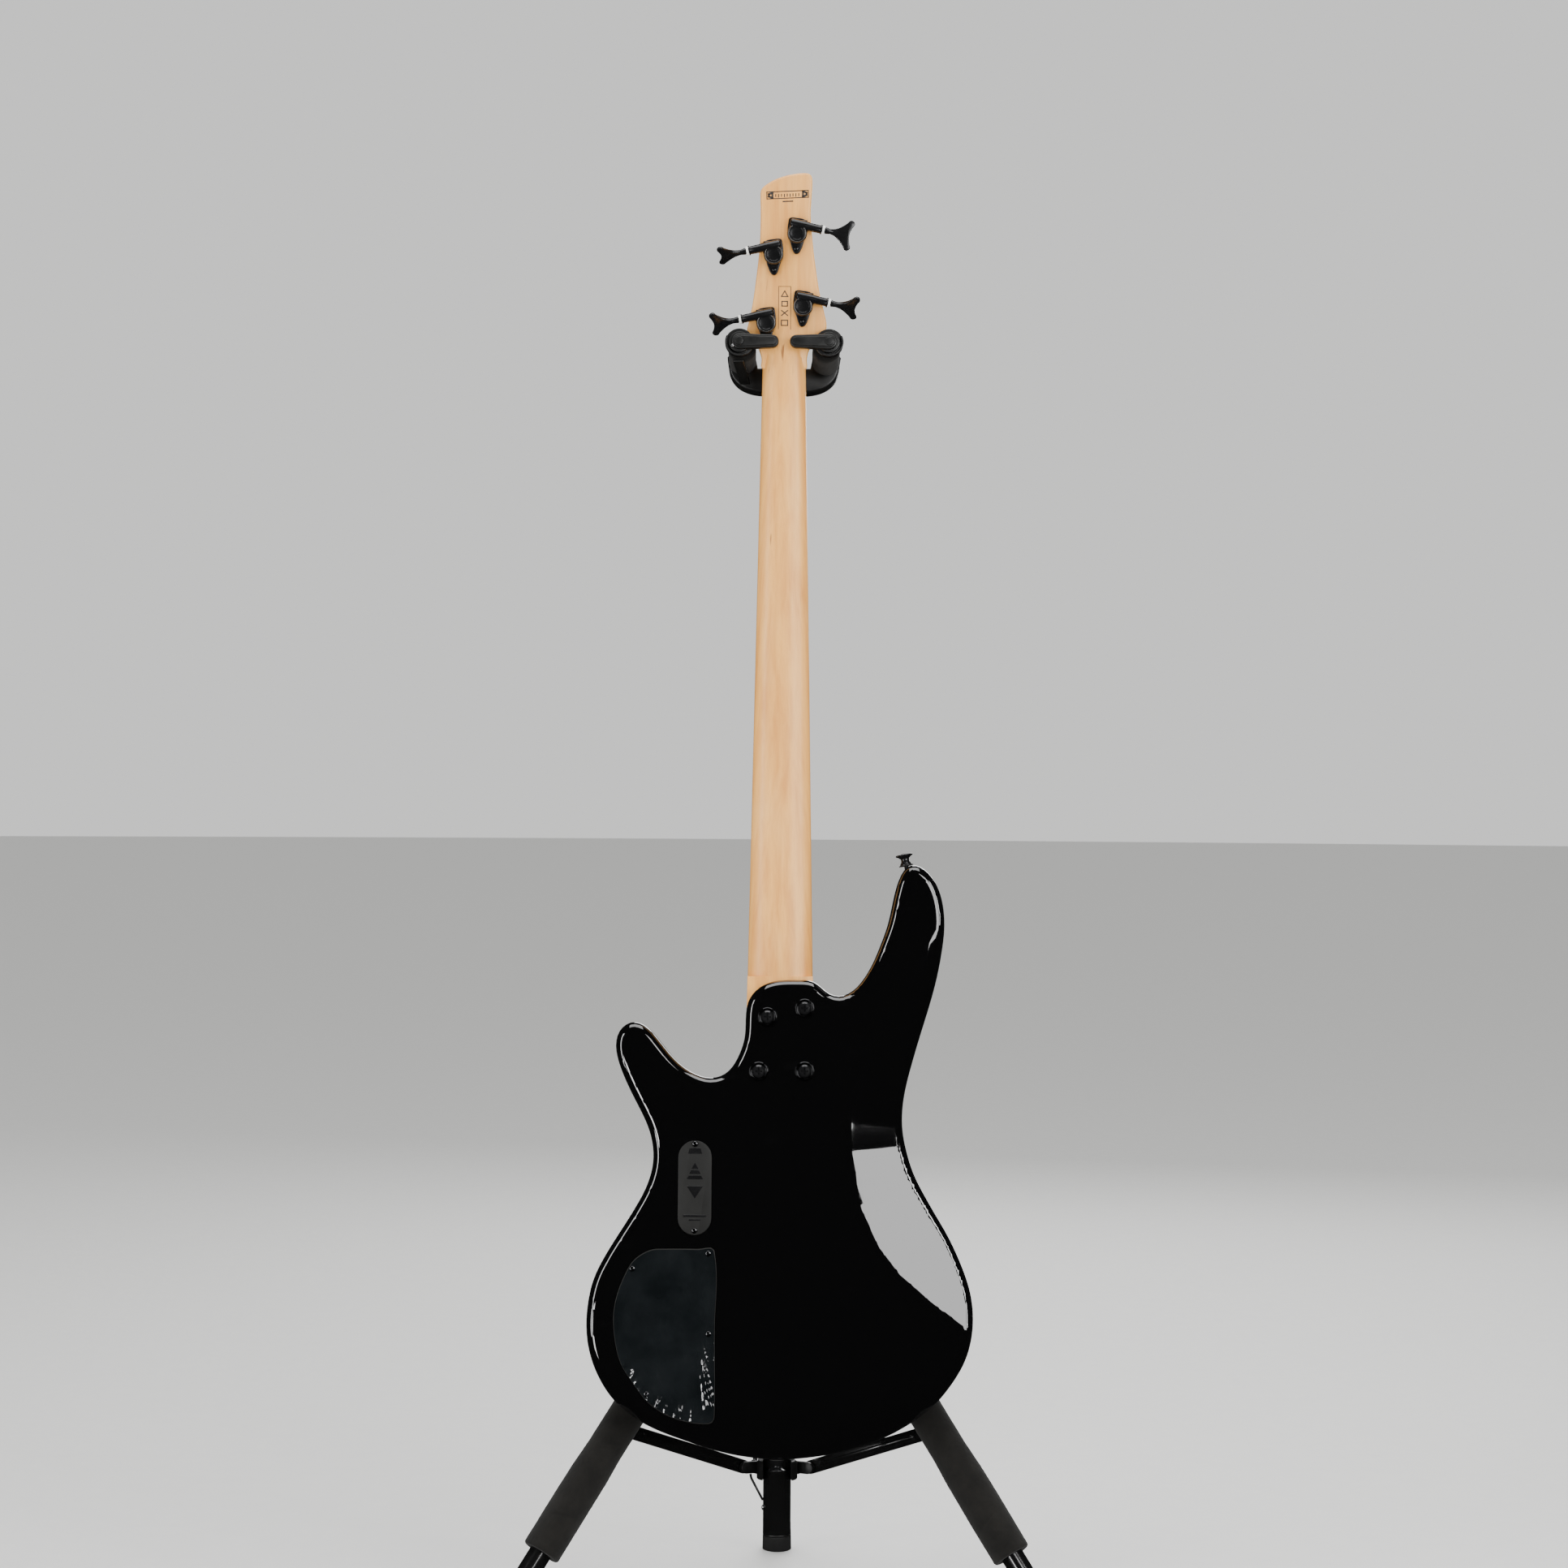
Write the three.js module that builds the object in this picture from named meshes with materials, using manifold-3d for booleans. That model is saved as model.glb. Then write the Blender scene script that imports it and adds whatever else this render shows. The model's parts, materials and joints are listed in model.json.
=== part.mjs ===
// Electric bass guitar hanging on a tripod floor stand, seen from its back.
// Millimetres, +Z up. The floor is z = 0, and -Y is the side that the guitar's back faces.
import * as THREE from 'three';
import { mergeVertices } from 'three/addons/utils/BufferGeometryUtils.js';
import Module from 'manifold-3d';

const wasm = await Module();
wasm.setup();

// ---- driving dimensions -------------------------------------------------
const GAP = 0.3;                       // clearance kept between touching pieces

// how the guitar and the mast stand
const GUITAR_LEAN = 6.3;               // degrees, headstock away from -Y
const NUT_HEIGHT = 1144.5;             // nut line above the floor, on the body's back plane
const GUITAR_Y = -76.8;                // back plane of the body at the nut line
const MAST_LEAN = 4.2;                 // degrees, top away from -Y
const MAST_Y = -64.8;                  // mast axis at the floor

// guitar: x across, y from the back plane towards the strings, z = -(distance below the nut)
const SCALE_LENGTH = 864;
const BODY_THICKNESS = 40;
const BODY_EDGE = 7;                   // rounding of the body's rim
const NECK_BACK_NUT = 26;              // neck's back surface at the nut, from the back plane
const NECK_BACK_HEEL = 24.6;
const NECK_TOP = 45.7;
const NECK_HALF_NUT = 19.5;
const NECK_HALF_GROWTH = 0.0168;       // half width gained per millimetre below the nut
const NECK_SHAFT_END = 575;
const HEEL_START = 570;
const NECK_END = 660;
const FRETBOARD_END = 653;
const FRETBOARD_THICKNESS = 6;
const HEAD_TILT = 9;                   // degrees, top of the headstock towards -Y
const HEAD_THICKNESS = 14;
const HEAD_FACE = 45.2;                // headstock's front face at the nut, from the back plane

// tuners on the headstock: [x, height above the nut, outward side]
const TUNERS = [
  [10.9, 112.8, 1],
  [-10.1, 93.7, -1],
  [16.6, 47.5, 1],
  [-16.4, 32.3, -1],
];
const WORM_ABOVE_GEAR = 8.3;
const WORM_SLOPE = 12;                 // degrees down towards the key
const WORM_DEPTH = 6.2;                // worm axis behind the headstock's back face
const KEY_TURN = [0, 65, 50, 50];      // how far each key stands turned about its shaft
const POST_HOLE = 6.2;
const POST_WAIST = 5.4;                // post radius where the string winds

// strings from the highest to the lowest: radius of each
const STRING_RADII = [0.6, 0.85, 1.05, 1.3];
const NUT_PITCH = 9.6;
const SADDLE_PITCH = 19;
const STRING_AT_NUT = 54.6;            // string axis at the nut, from the back plane
const STRING_AT_SADDLE = 58.4;
const STRING_AT_TAIL = 50;
const BRIDGE_TAIL = 894;               // rear edge of the bridge, below the nut line

// stand
const LOWER_RADIUS = 12.5;
const UPPER_RADIUS = 10;
const TUBE_WALL = 1.5;
const LOWER_BOTTOM = 80;
const LOWER_TOP = 590;
const UPPER_BOTTOM = 330;
const UPPER_TOP = 1122;
const COLLAR_AT = 138.5;               // strut pivots, along the mast
const COLLAR_PIVOT = 24;               // strut pivots, from the mast's axis
const HUB_AT = 368;                    // leg pivots, along the mast
const HUB_PIVOT = 27;
const LEG_ANGLE = 36;                  // degrees between a leg and the mast
const LEG_RADIUS = 10;
const STRUT_ALONG = 221;               // strut lug, along the leg from its pivot
const STRUT_INSET = 20.6;              // strut lug, from the leg's axis towards the mast
const STRUT_SIDE = 20;                 // struts run beside the legs by this much
const LUG_SIDE = STRUT_SIDE - 5;       // lugs lie between the strut and the leg's middle plane
const LUG_ROOT = 6;                    // where a leg's lug starts, from the leg's middle plane
const STRUT_THICKNESS = 4;
const STRUT_HALF_WIDTH = 6.2;
const LEG_EYE_HALF = 6.6;              // half width of the flattened eye at a leg's top
const LEG_ROOM = 0.5;                  // clearance beside the eye, between the hub's ears
const FOOT_CAP = 9;                    // floor to the leg tube's end, along the leg
const PAD_RADIUS = 16.5;
const PAD_FROM = 204;
const PAD_TO = 354;
const LEG_AZIMUTHS = { front_left: 210, front_right: 330, rear: 90 };
const STRUT_HAND = { front_left: -1, front_right: 1, rear: 1 };

// yoke, in the mast's frame
const PRONG_X = 38;
const PRONG_Z = 1148.6;                // prong axis at the front of its end ring
const PRONG_RADIUS = 6.5;
const YOKE_PAD_RADIUS = 12.7;
const PAD_BACK = -38.2;
const PAD_FRONT = -66.2;
const PRONG_RISE = 14.7;               // degrees up towards -Y
const GATE_X = 40.5;
const GATE_Z = 1151;
const GATE_THICKNESS = 7;
const RING_BACK = -70;                 // round end plate of each prong
const RING_FRONT = -73.5;

// ---- finishes -------------------------------------------------------------
const finish = (color, roughness, metalness = 0) =>
  new THREE.MeshStandardMaterial({ color, roughness, metalness });
const GLOSS_BLACK = finish(0x050506, 0.08);
const MAPLE = finish(0xd9b27a, 0.45);
const ROSEWOOD = finish(0x2c1a12, 0.6);
const BLACK_METAL = finish(0x0b0b0c, 0.3, 0.8);
const BLACK_PLASTIC = finish(0x101011, 0.5);
const BONE = finish(0x1a1a1a, 0.5);
const STEEL = finish(0xb9bcc0, 0.3, 1);
const TUBE_METAL = finish(0x151516, 0.35, 0.7);
const FOAM = finish(0x2b2a29, 0.95);
const RUBBER = finish(0x121212, 0.9);

// ---- small tools ------------------------------------------------------------
function deg(angle) {
  return (angle * Math.PI) / 180;
}

function solidOf(geometry) {
  const plain = geometry.index ? geometry.toNonIndexed() : geometry.clone();
  plain.deleteAttribute('normal');
  plain.deleteAttribute('uv');
  const merged = mergeVertices(plain, 1e-4);
  return new wasm.Manifold(new wasm.Mesh({
    numProp: 3,
    vertProperties: new Float32Array(merged.attributes.position.array),
    triVerts: new Uint32Array(merged.index.array),
  }));
}

function geometryOf(solid) {
  const mesh = solid.getMesh();
  const geometry = new THREE.BufferGeometry();
  geometry.setAttribute('position', new THREE.BufferAttribute(new Float32Array(mesh.vertProperties), 3));
  geometry.setIndex(new THREE.BufferAttribute(new Uint32Array(mesh.triVerts), 1));
  geometry.computeVertexNormals();
  return geometry;
}

function join(...geometries) {
  return geometryOf(geometries.map(solidOf).reduce((whole, piece) => whole.add(piece)));
}

function cut(geometry, ...cutters) {
  return geometryOf(cutters.map(solidOf).reduce((whole, piece) => whole.subtract(piece), solidOf(geometry)));
}

// box given by its lowest and highest corners
function block(low, high) {
  const size = high.map((value, axis) => value - low[axis]);
  const middle = high.map((value, axis) => (value + low[axis]) / 2);
  return new THREE.BoxGeometry(...size).translate(...middle);
}

// puts a shape made about the z axis from z = 0 upwards on the line from start to end
function along(geometry, start, end) {
  const from = new THREE.Vector3(...start);
  const direction = new THREE.Vector3(...end).sub(from).normalize();
  const turn = new THREE.Quaternion().setFromUnitVectors(new THREE.Vector3(0, 0, 1), direction);
  return geometry.applyQuaternion(turn).translate(from.x, from.y, from.z);
}

const distance = (start, end) => new THREE.Vector3(...start).distanceTo(new THREE.Vector3(...end));

// solid of revolution about z; the profile is [radius, height] pairs from axis to axis
function turned(profile, sides = 16) {
  const points = profile.map(([radius, height]) => new THREE.Vector2(radius, height));
  return new THREE.LatheGeometry(points, sides).rotateX(Math.PI / 2);
}

function rod(start, end, radius, sides = 16) {
  const length = distance(start, end);
  return along(turned([[0, 0], [radius, 0], [radius, length], [0, length]], sides), start, end);
}

function pipe(start, end, outer, inner, sides = 20) {
  const length = distance(start, end);
  const ring = [[inner, 0], [outer, 0], [outer, length], [inner, length], [inner, 0]];
  return along(turned(ring, sides), start, end);
}

const shapeOf = (points) => new THREE.Shape(points.map(([x, z]) => new THREE.Vector2(x, z)));

// flat outline in x and z, thickened from yLow to yHigh, with its rims rounded by edge
function slab(shape, yLow, yHigh, edge = 0, curveSegments = 8) {
  const options = { depth: yHigh - yLow - 2 * edge, bevelEnabled: edge > 0, curveSegments };
  if (edge > 0) {
    Object.assign(options, { bevelThickness: edge, bevelSize: edge, bevelOffset: -edge, bevelSegments: 2 });
  }
  return new THREE.ExtrudeGeometry(shape, options).rotateX(Math.PI / 2).translate(0, yHigh - edge, 0);
}

// smooth closed outline through points given as [x, distance below the nut]
function smoothOutline(points, divisions) {
  const path = new THREE.CatmullRomCurve3(points.map(([x, s]) => new THREE.Vector3(x, -s, 0)), true);
  return shapeOf(path.getPoints(divisions).slice(0, -1).map((point) => [point.x, point.y]));
}

const group = new THREE.Group();

function add(parent, name, geometry, material) {
  const mesh = new THREE.Mesh(geometry, material);
  mesh.name = name;
  parent.add(mesh);
}

// ---- guitar -----------------------------------------------------------------
const guitar = new THREE.Group();
guitar.position.set(0, GUITAR_Y, NUT_HEIGHT);
guitar.rotation.x = -deg(GUITAR_LEAN);
group.add(guitar);

const neckHalf = (s) => NECK_HALF_NUT + NECK_HALF_GROWTH * s;

// body outline: upper cutaway, upper horn, waist, lower bout, waist, lower horn, cutaway, heel
const BODY_OUTLINE = [
  [30, 564.5], [38, 572], [45, 577.5], [53, 578.8], [61, 575.8], [70, 567.7], [81, 550], [89, 531],
  [95.4, 513], [99.4, 494], [103.4, 477.5], [109, 465], [117, 461], [124.5, 464], [132, 470.7],
  [140, 485.4], [143.8, 503], [143.9, 525], [136.5, 567], [118.3, 629], [109.7, 662.7],
  [107.5, 685.4], [109.5, 704.5], [117.8, 732.7], [133, 761], [149.4, 789], [161.8, 817],
  [167.6, 836], [169.6, 854.5], [168.2, 873.4], [163, 892.3], [152.6, 911], [137.5, 930],
  [121.8, 943], [96.6, 958], [71.4, 967.5], [41, 975.3], [0, 979], [-41, 974.5], [-80, 963],
  [-115, 949], [-140.7, 929.8], [-155, 909], [-163.2, 888], [-166.3, 867], [-165.2, 846],
  [-160.6, 825], [-150.3, 804], [-124, 761.6], [-113.5, 740.4], [-109.3, 719], [-113.6, 695],
  [-130.5, 661], [-138, 644.6], [-143.2, 628], [-143.2, 615], [-137.8, 605.3], [-127, 600.6],
  [-116.5, 605.2], [-106.4, 616.5], [-94.7, 631], [-81.5, 642.5], [-65, 650], [-52, 649.4],
  [-42, 642], [-35, 629], [-30.6, 616], [-30, 603], [-29.5, 588.4], [-26.4, 579], [-19.2, 571],
  [-9.8, 566], [1.3, 564], [16, 564],
];

const COVER_OUTLINE = [
  [-55.5, 799], [-54.5, 870], [-54, 941], [-56, 946.5], [-63, 947.9], [-78, 946.2], [-95, 940.8],
  [-112, 929.7], [-125.2, 913.3], [-135.8, 896.8], [-141, 878], [-142.7, 856], [-139.5, 837],
  [-131.3, 816.8], [-124, 806.5], [-111, 799], [-98, 798], [-70, 798],
];

function inset(points, middle, factor) {
  return points.map(([x, s]) => [middle[0] + (x - middle[0]) * factor, middle[1] + (s - middle[1]) * factor]);
}

// straight-sided outline with round ends, standing upright
function stadium(x, s, width, length) {
  const radius = width / 2;
  const shape = new THREE.Shape();
  shape.absarc(x, -s + length / 2 - radius, radius, 0, Math.PI);
  shape.absarc(x, -s - length / 2 + radius, radius, Math.PI, 2 * Math.PI);
  return shape;
}

const NECK_BOLTS = [[-10.9, 596.9], [21.7, 589.2], [-18.2, 644.3], [21.9, 644]];
const BATTERY_AT = [-73, 745.5];
const COVER_MIDDLE = [-98, 872];
const COVER_RECESS = 2.2;
const PICKUPS = { pickup_neck: 712, pickup_bridge: 806 };
const PICKUP_SIZE = [92, 30];
const PICKUP_FLOOR = 26;
const PICKUP_TOP = 50;
const KNOBS = [[-72, 790], [-98, 812], [-120, 842], [-134, 877]];
const JACK_AT = [-124, 912];

function makeBody() {
  const pocketHalf = neckHalf(NECK_END) + GAP;
  const pocket = block([-pocketHalf, NECK_BACK_HEEL - GAP, -NECK_END - GAP], [pocketHalf, 60, -500]);
  const coverRecess = slab(smoothOutline(inset(COVER_OUTLINE, COVER_MIDDLE, 1.006), 36), -5, COVER_RECESS);
  const cavity = slab(smoothOutline(inset(COVER_OUTLINE, COVER_MIDDLE, 0.9), 24), -5, BODY_THICKNESS - 7);
  const batteryRecess = slab(stadium(...BATTERY_AT, 30, 82.4), -5, COVER_RECESS);
  const batteryBox = block([-86.5, -5, -775], [-59.5, 27, -716]);
  const pickupPockets = Object.values(PICKUPS).map((s) => {
    const [halfWidth, halfHeight] = PICKUP_SIZE.map((size) => size / 2 + GAP);
    return block([-halfWidth, PICKUP_FLOOR - GAP, -s - halfHeight], [halfWidth, 60, -s + halfHeight]);
  });
  const boltHoles = NECK_BOLTS.map(([x, s]) => rod([x, -5, -s], [x, 60, -s], 3.2, 12));
  const shaftHoles = KNOBS.map(([x, s]) => rod([x, 30, -s], [x, 60, -s], 5, 12));
  const jackHole = rod([JACK_AT[0], 30, -JACK_AT[1]], [JACK_AT[0], 60, -JACK_AT[1]], 8.6, 16);
  const buttonHole = rod([113.6, 22, -475.6], [108.5, 22, -450], 2.4, 10);
  const endHole = rod([0, 22, -940], [0, 22, -1000], 2.4, 10);
  return cut(
    slab(smoothOutline(BODY_OUTLINE, 128), 0, BODY_THICKNESS, BODY_EDGE),
    pocket, coverRecess, cavity, batteryRecess, batteryBox, ...pickupPockets,
    ...boltHoles, ...shaftHoles, jackHole, buttonHole, endHole,
  );
}
add(guitar, 'body', makeBody(), GLOSS_BLACK);

// headstock frame: z up along the headstock from the nut, y = 0 on its front face
const head = new THREE.Group();
head.position.set(0, HEAD_FACE, 0);
head.rotation.x = deg(HEAD_TILT);
guitar.add(head);

// headstock outline as [x, distance below the nut], from the bass side of the neck over the top
const HEAD_OUTLINE = [
  [19.6, 14], [20.4, 0], [21.6, -6], [24, -11.5], [28.5, -17.8], [34, -22.4], [37.4, -25.4],
  [38.3, -30], [36.6, -40], [31.3, -62], [26.4, -94], [24.2, -115], [23.2, -128], [23.6, -140],
  [24.5, -158], [24, -163.5], [20.8, -165.8], [12.5, -165.8], [0, -163.5], [-11, -159.4],
  [-20.6, -153.2], [-22.3, -150], [-22.2, -146], [-22, -133], [-22.2, -114.5], [-23.2, -95.3],
  [-28.7, -51], [-32.7, -32], [-34, -25.4], [-33, -22.6], [-28.5, -17.8], [-24, -11.5], [-21.6, -6],
  [-20.4, 0], [-19.6, 14],
];

// outline that widens with the neck between two distances below the nut
function taperedOutline(fromS, toS) {
  const [start, end] = [neckHalf(fromS), neckHalf(toS)];
  return shapeOf([[start, -fromS], [end, -toS], [-end, -toS], [-start, -fromS]]);
}

// neck shaft of constant depth, widened towards the body and hollowed back under its flat top
function makeShaft() {
  const half = neckHalf(0);
  const depth = NECK_TOP - NECK_BACK_NUT;
  const section = new THREE.Shape();
  section.moveTo(half, NECK_TOP);
  section.lineTo(-half, NECK_TOP);
  section.lineTo(-half, NECK_TOP - 4);
  section.bezierCurveTo(-half, NECK_TOP - depth * 0.75, -half * 0.62, NECK_BACK_NUT, 0, NECK_BACK_NUT);
  section.bezierCurveTo(half * 0.62, NECK_BACK_NUT, half, NECK_TOP - depth * 0.75, half, NECK_TOP - 4);
  const options = { depth: NECK_SHAFT_END, bevelEnabled: false, curveSegments: 7 };
  const shaft = new THREE.ExtrudeGeometry(section, options);
  shaft.translate(0, 0, -NECK_SHAFT_END);
  const place = shaft.attributes.position;
  for (let index = 0; index < place.count; index += 1) {
    const share = -place.getZ(index) / NECK_SHAFT_END;
    const deeper = (NECK_BACK_NUT - NECK_BACK_HEEL) * share * (NECK_TOP - place.getY(index)) / depth;
    place.setX(index, place.getX(index) * (1 + share * (neckHalf(NECK_SHAFT_END) / half - 1)));
    place.setY(index, place.getY(index) - deeper);
  }
  return shaft;
}

function makeNeck() {
  const headOutline = HEAD_OUTLINE.map(([x, s]) => [x, -s / Math.cos(deg(HEAD_TILT))]);
  const plate = slab(shapeOf(headOutline), -HEAD_THICKNESS, 0);
  plate.rotateX(deg(HEAD_TILT)).translate(0, HEAD_FACE, 0);
  const heel = slab(taperedOutline(HEEL_START, NECK_END), NECK_BACK_HEEL, NECK_TOP);
  const topTrim = block([-60, NECK_TOP, -700], [60, 80, 40]);
  const rodChannel = block([-3.4, 36, -640], [3.4, 60, -8]);
  const postHoles = TUNERS.map(([x, height]) => {
    const hole = rod([x, -30, height], [x, 20, height], POST_HOLE, 14);
    return hole.rotateX(deg(HEAD_TILT)).translate(0, HEAD_FACE, 0);
  });
  const boltHoles = NECK_BOLTS.map(([x, s]) => rod([x, 20, -s], [x, 39, -s], 2.9, 12));
  return cut(join(plate, makeShaft(), heel), topTrim, rodChannel, ...postHoles, ...boltHoles);
}
add(guitar, 'neck', makeNeck(), MAPLE);

const FRETBOARD_BOTTOM = NECK_TOP + GAP;
const FRETBOARD_TOP = FRETBOARD_BOTTOM + FRETBOARD_THICKNESS;
const fretboard = slab(taperedOutline(3, FRETBOARD_END), FRETBOARD_BOTTOM, FRETBOARD_TOP);
add(guitar, 'fretboard', fretboard, ROSEWOOD);
const nutLow = [-NECK_HALF_NUT, FRETBOARD_BOTTOM, -2.7];
add(guitar, 'nut', block(nutLow, [NECK_HALF_NUT, STRING_AT_NUT - 1.6, 1.8]), BONE);
add(guitar, 'truss_rod', block([-2.8, 36.5, -638], [2.8, 45, -10]), STEEL);

const coverPlate = shapeOf([[9, 8], [9, 26], [4, 40], [-4, 40], [-9, 26], [-9, 8]]);
add(head, 'truss_rod_cover', slab(coverPlate, GAP, 2.3), BLACK_PLASTIC);

// one tuner: cast housing on the back of the headstock, turning key, and string post
function makeHousing() {
  const slope = Math.tan(deg(WORM_SLOPE));
  const plateTop = 15;
  const plateOutline = [
    [-6.2, plateTop - 0.4], [-4.6, plateTop], [7.6, plateTop - 2.6], [8.8, 4], [5.2, -10], [2.4, -16.4],
    [-0.8, -17.6], [-3.2, -15.6], [-7.6, -4], [-8.4, 3],
  ];
  const plate = slab(shapeOf(plateOutline), -2.2, -GAP);
  const gearCap = turned([[0, 0], [8.6, 0], [8.6, 6.6], [7.6, 7.8], [0, 7.8]], 18);
  const gearCover = along(gearCap, [0, -2, 0], [0, -20, 0]);
  const wormStart = [-5.4, -WORM_DEPTH, WORM_ABOVE_GEAR + 5.4 * slope];
  const wormEnd = [22.6, -WORM_DEPTH, WORM_ABOVE_GEAR - 22.6 * slope];
  const wormCase = rod(wormStart, wormEnd, 4.1, 10);
  const gearRoom = rod([0, 1, 0], [0, -7.4, 0], 6.6, 12);
  const boreStart = [3, -WORM_DEPTH, WORM_ABOVE_GEAR - 3 * slope];
  const boreEnd = [30, -WORM_DEPTH, WORM_ABOVE_GEAR - 30 * slope];
  return cut(join(plate, gearCover, wormCase), gearRoom, rod(boreStart, boreEnd, 2.6, 8));
}

// key about its own shaft: z along the shaft, measured from the point beside the gear
const KEY_START = 4;
const KEY_COLLAR = 23.2;
const KEY_END = 50.5;
function makeKey(turn) {
  const shaft = turned([
    [0, KEY_START], [2.2, KEY_START], [2.2, KEY_COLLAR], [3.9, KEY_COLLAR], [3.9, KEY_COLLAR + 2.2],
    [2.8, KEY_COLLAR + 2.4], [2.4, KEY_COLLAR + 9], [0, KEY_COLLAR + 9],
  ], 10);
  const wing = new THREE.Shape();
  wing.moveTo(-2.2, KEY_COLLAR + 4);
  wing.bezierCurveTo(-2.4, KEY_COLLAR + 14, -6, KEY_COLLAR + 17, -13, KEY_END - 5);
  wing.bezierCurveTo(-14.5, KEY_END - 2, -12.5, KEY_END + 1, -9.5, KEY_END);
  wing.bezierCurveTo(-4, KEY_END - 2.2, 4, KEY_END - 2.2, 9.5, KEY_END);
  wing.bezierCurveTo(12.5, KEY_END + 1, 14.5, KEY_END - 2, 13, KEY_END - 5);
  wing.bezierCurveTo(6, KEY_COLLAR + 17, 2.4, KEY_COLLAR + 14, 2.2, KEY_COLLAR + 4);
  const blade = slab(wing, -1.7, 1.7, 0, 4);
  return join(shaft, blade).rotateZ(deg(turn));
}

function makePost() {
  return along(turned([
    [0, 0], [6, 0], [6, 4], [4.6, 4], [4.6, 21.2], [7.4, 21.2], [7.4, 22.6], [6.2, 24],
    [POST_WAIST, 30], [6.4, 35], [6, 36.4], [0, 36.4],
  ], 12), [0, -HEAD_THICKNESS - 6.8, 0], [0, 60, 0]);
}

TUNERS.forEach(([x, height, side], index) => {
  const tuner = new THREE.Group();
  tuner.position.set(x, -HEAD_THICKNESS, height);
  tuner.scale.x = side;
  head.add(tuner);
  add(tuner, `tuner_housing_${index + 1}`, makeHousing(), BLACK_METAL);
  const key = new THREE.Group();
  key.position.set(0, -WORM_DEPTH, WORM_ABOVE_GEAR);
  key.rotation.y = deg(90 + WORM_SLOPE);
  tuner.add(key);
  add(key, `tuner_key_${index + 1}`, makeKey(KEY_TURN[index]), BLACK_METAL);
  const post = new THREE.Group();
  post.position.set(x, 0, height);
  head.add(post);
  add(post, `tuner_post_${index + 1}`, makePost(), BLACK_METAL);
});

// strings run from the bridge over the saddles and the nut to the posts
const POST_STRING_LEVEL = 9.2;         // string above the headstock's face at its post
const STRING_TUNERS = [3, 1, 0, 2];    // tuner of each string, from the highest string
STRING_TUNERS.forEach((tunerIndex, index) => {
  const [postX, postHeight, side] = TUNERS[tunerIndex];
  const radius = STRING_RADII[index];
  const place = index - 1.5;
  const tilt = deg(HEAD_TILT);
  const points = [
    [
      postX - side * (POST_WAIST + radius + 1.5 * GAP),
      HEAD_FACE + POST_STRING_LEVEL * Math.cos(tilt) - postHeight * Math.sin(tilt),
      POST_STRING_LEVEL * Math.sin(tilt) + postHeight * Math.cos(tilt),
    ],
    [place * NUT_PITCH, STRING_AT_NUT, 0],
    [place * SADDLE_PITCH, STRING_AT_SADDLE, -SCALE_LENGTH],
    [place * SADDLE_PITCH, STRING_AT_TAIL, -BRIDGE_TAIL + 4.4],
  ];
  const lengths = points.slice(1).map((point, step) => rod(points[step], point, radius, 6));
  const bends = points.slice(1, 3).map((point) => new THREE.IcosahedronGeometry(radius).translate(...point));
  add(guitar, `string_${index + 1}`, join(...lengths, ...bends), STEEL);
});

// bridge: base plate with its tail flange
const BRIDGE_HALF = 41;
const bridgeCorner = [-BRIDGE_HALF, BODY_THICKNESS + GAP, -BRIDGE_TAIL];
const bridgePlate = block(bridgeCorner, [BRIDGE_HALF, BODY_THICKNESS + 3, 48 - BRIDGE_TAIL]);
const tailFlange = block(bridgeCorner, [BRIDGE_HALF, BODY_THICKNESS + 15, 4 - BRIDGE_TAIL]);
add(guitar, 'bridge', join(bridgePlate, tailFlange), BLACK_METAL);

Object.entries(PICKUPS).forEach(([name, s]) => {
  const [halfWidth, halfHeight] = PICKUP_SIZE.map((size) => size / 2);
  const cover = block([-halfWidth, PICKUP_FLOOR, -s - halfHeight], [halfWidth, PICKUP_TOP, -s + halfHeight]);
  add(guitar, name, cover, BLACK_PLASTIC);
});

// control knobs: each turns on a shaft that passes through the body's front
KNOBS.forEach(([x, s], index) => {
  const knob = turned([
    [0, 0], [3.2, 0], [3.2, 9.5], [9.6, 9.5], [9.6, 12], [8.4, 24], [7.2, 25.2], [0, 25.2],
  ], 16);
  add(guitar, `knob_${index + 1}`, along(knob, [x, 31.5, -s], [x, 80, -s]), BLACK_METAL);
});
add(guitar, 'output_jack', along(turned([
  [4.6, 0], [8.2, 0], [8.2, 8.4], [11.5, 8.4], [11.5, 10.2], [4.6, 10.2], [4.6, 0],
], 14), [JACK_AT[0], 32, -JACK_AT[1]], [JACK_AT[0], 80, -JACK_AT[1]]), BLACK_METAL);

add(guitar, 'control_cover', slab(smoothOutline(COVER_OUTLINE, 36), 0.2, COVER_RECESS - GAP), BLACK_PLASTIC);
add(guitar, 'battery_cover', slab(stadium(...BATTERY_AT, 29.2, 81.6), -1, COVER_RECESS - GAP), BLACK_PLASTIC);
add(guitar, 'battery', block([-85.8, 4, -770], [-60.2, 21, -721.5]), BLACK_METAL);

NECK_BOLTS.forEach(([x, s], index) => {
  const bolt = turned([[0, 0], [3.6, 0.5], [5.6, 1.9], [6, 3], [2.5, 3], [2.5, 40], [0, 41]], 10);
  add(guitar, `neck_bolt_${index + 1}`, along(bolt, [x, -3 - GAP, -s], [x, 60, -s]), BLACK_METAL);
});

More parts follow.
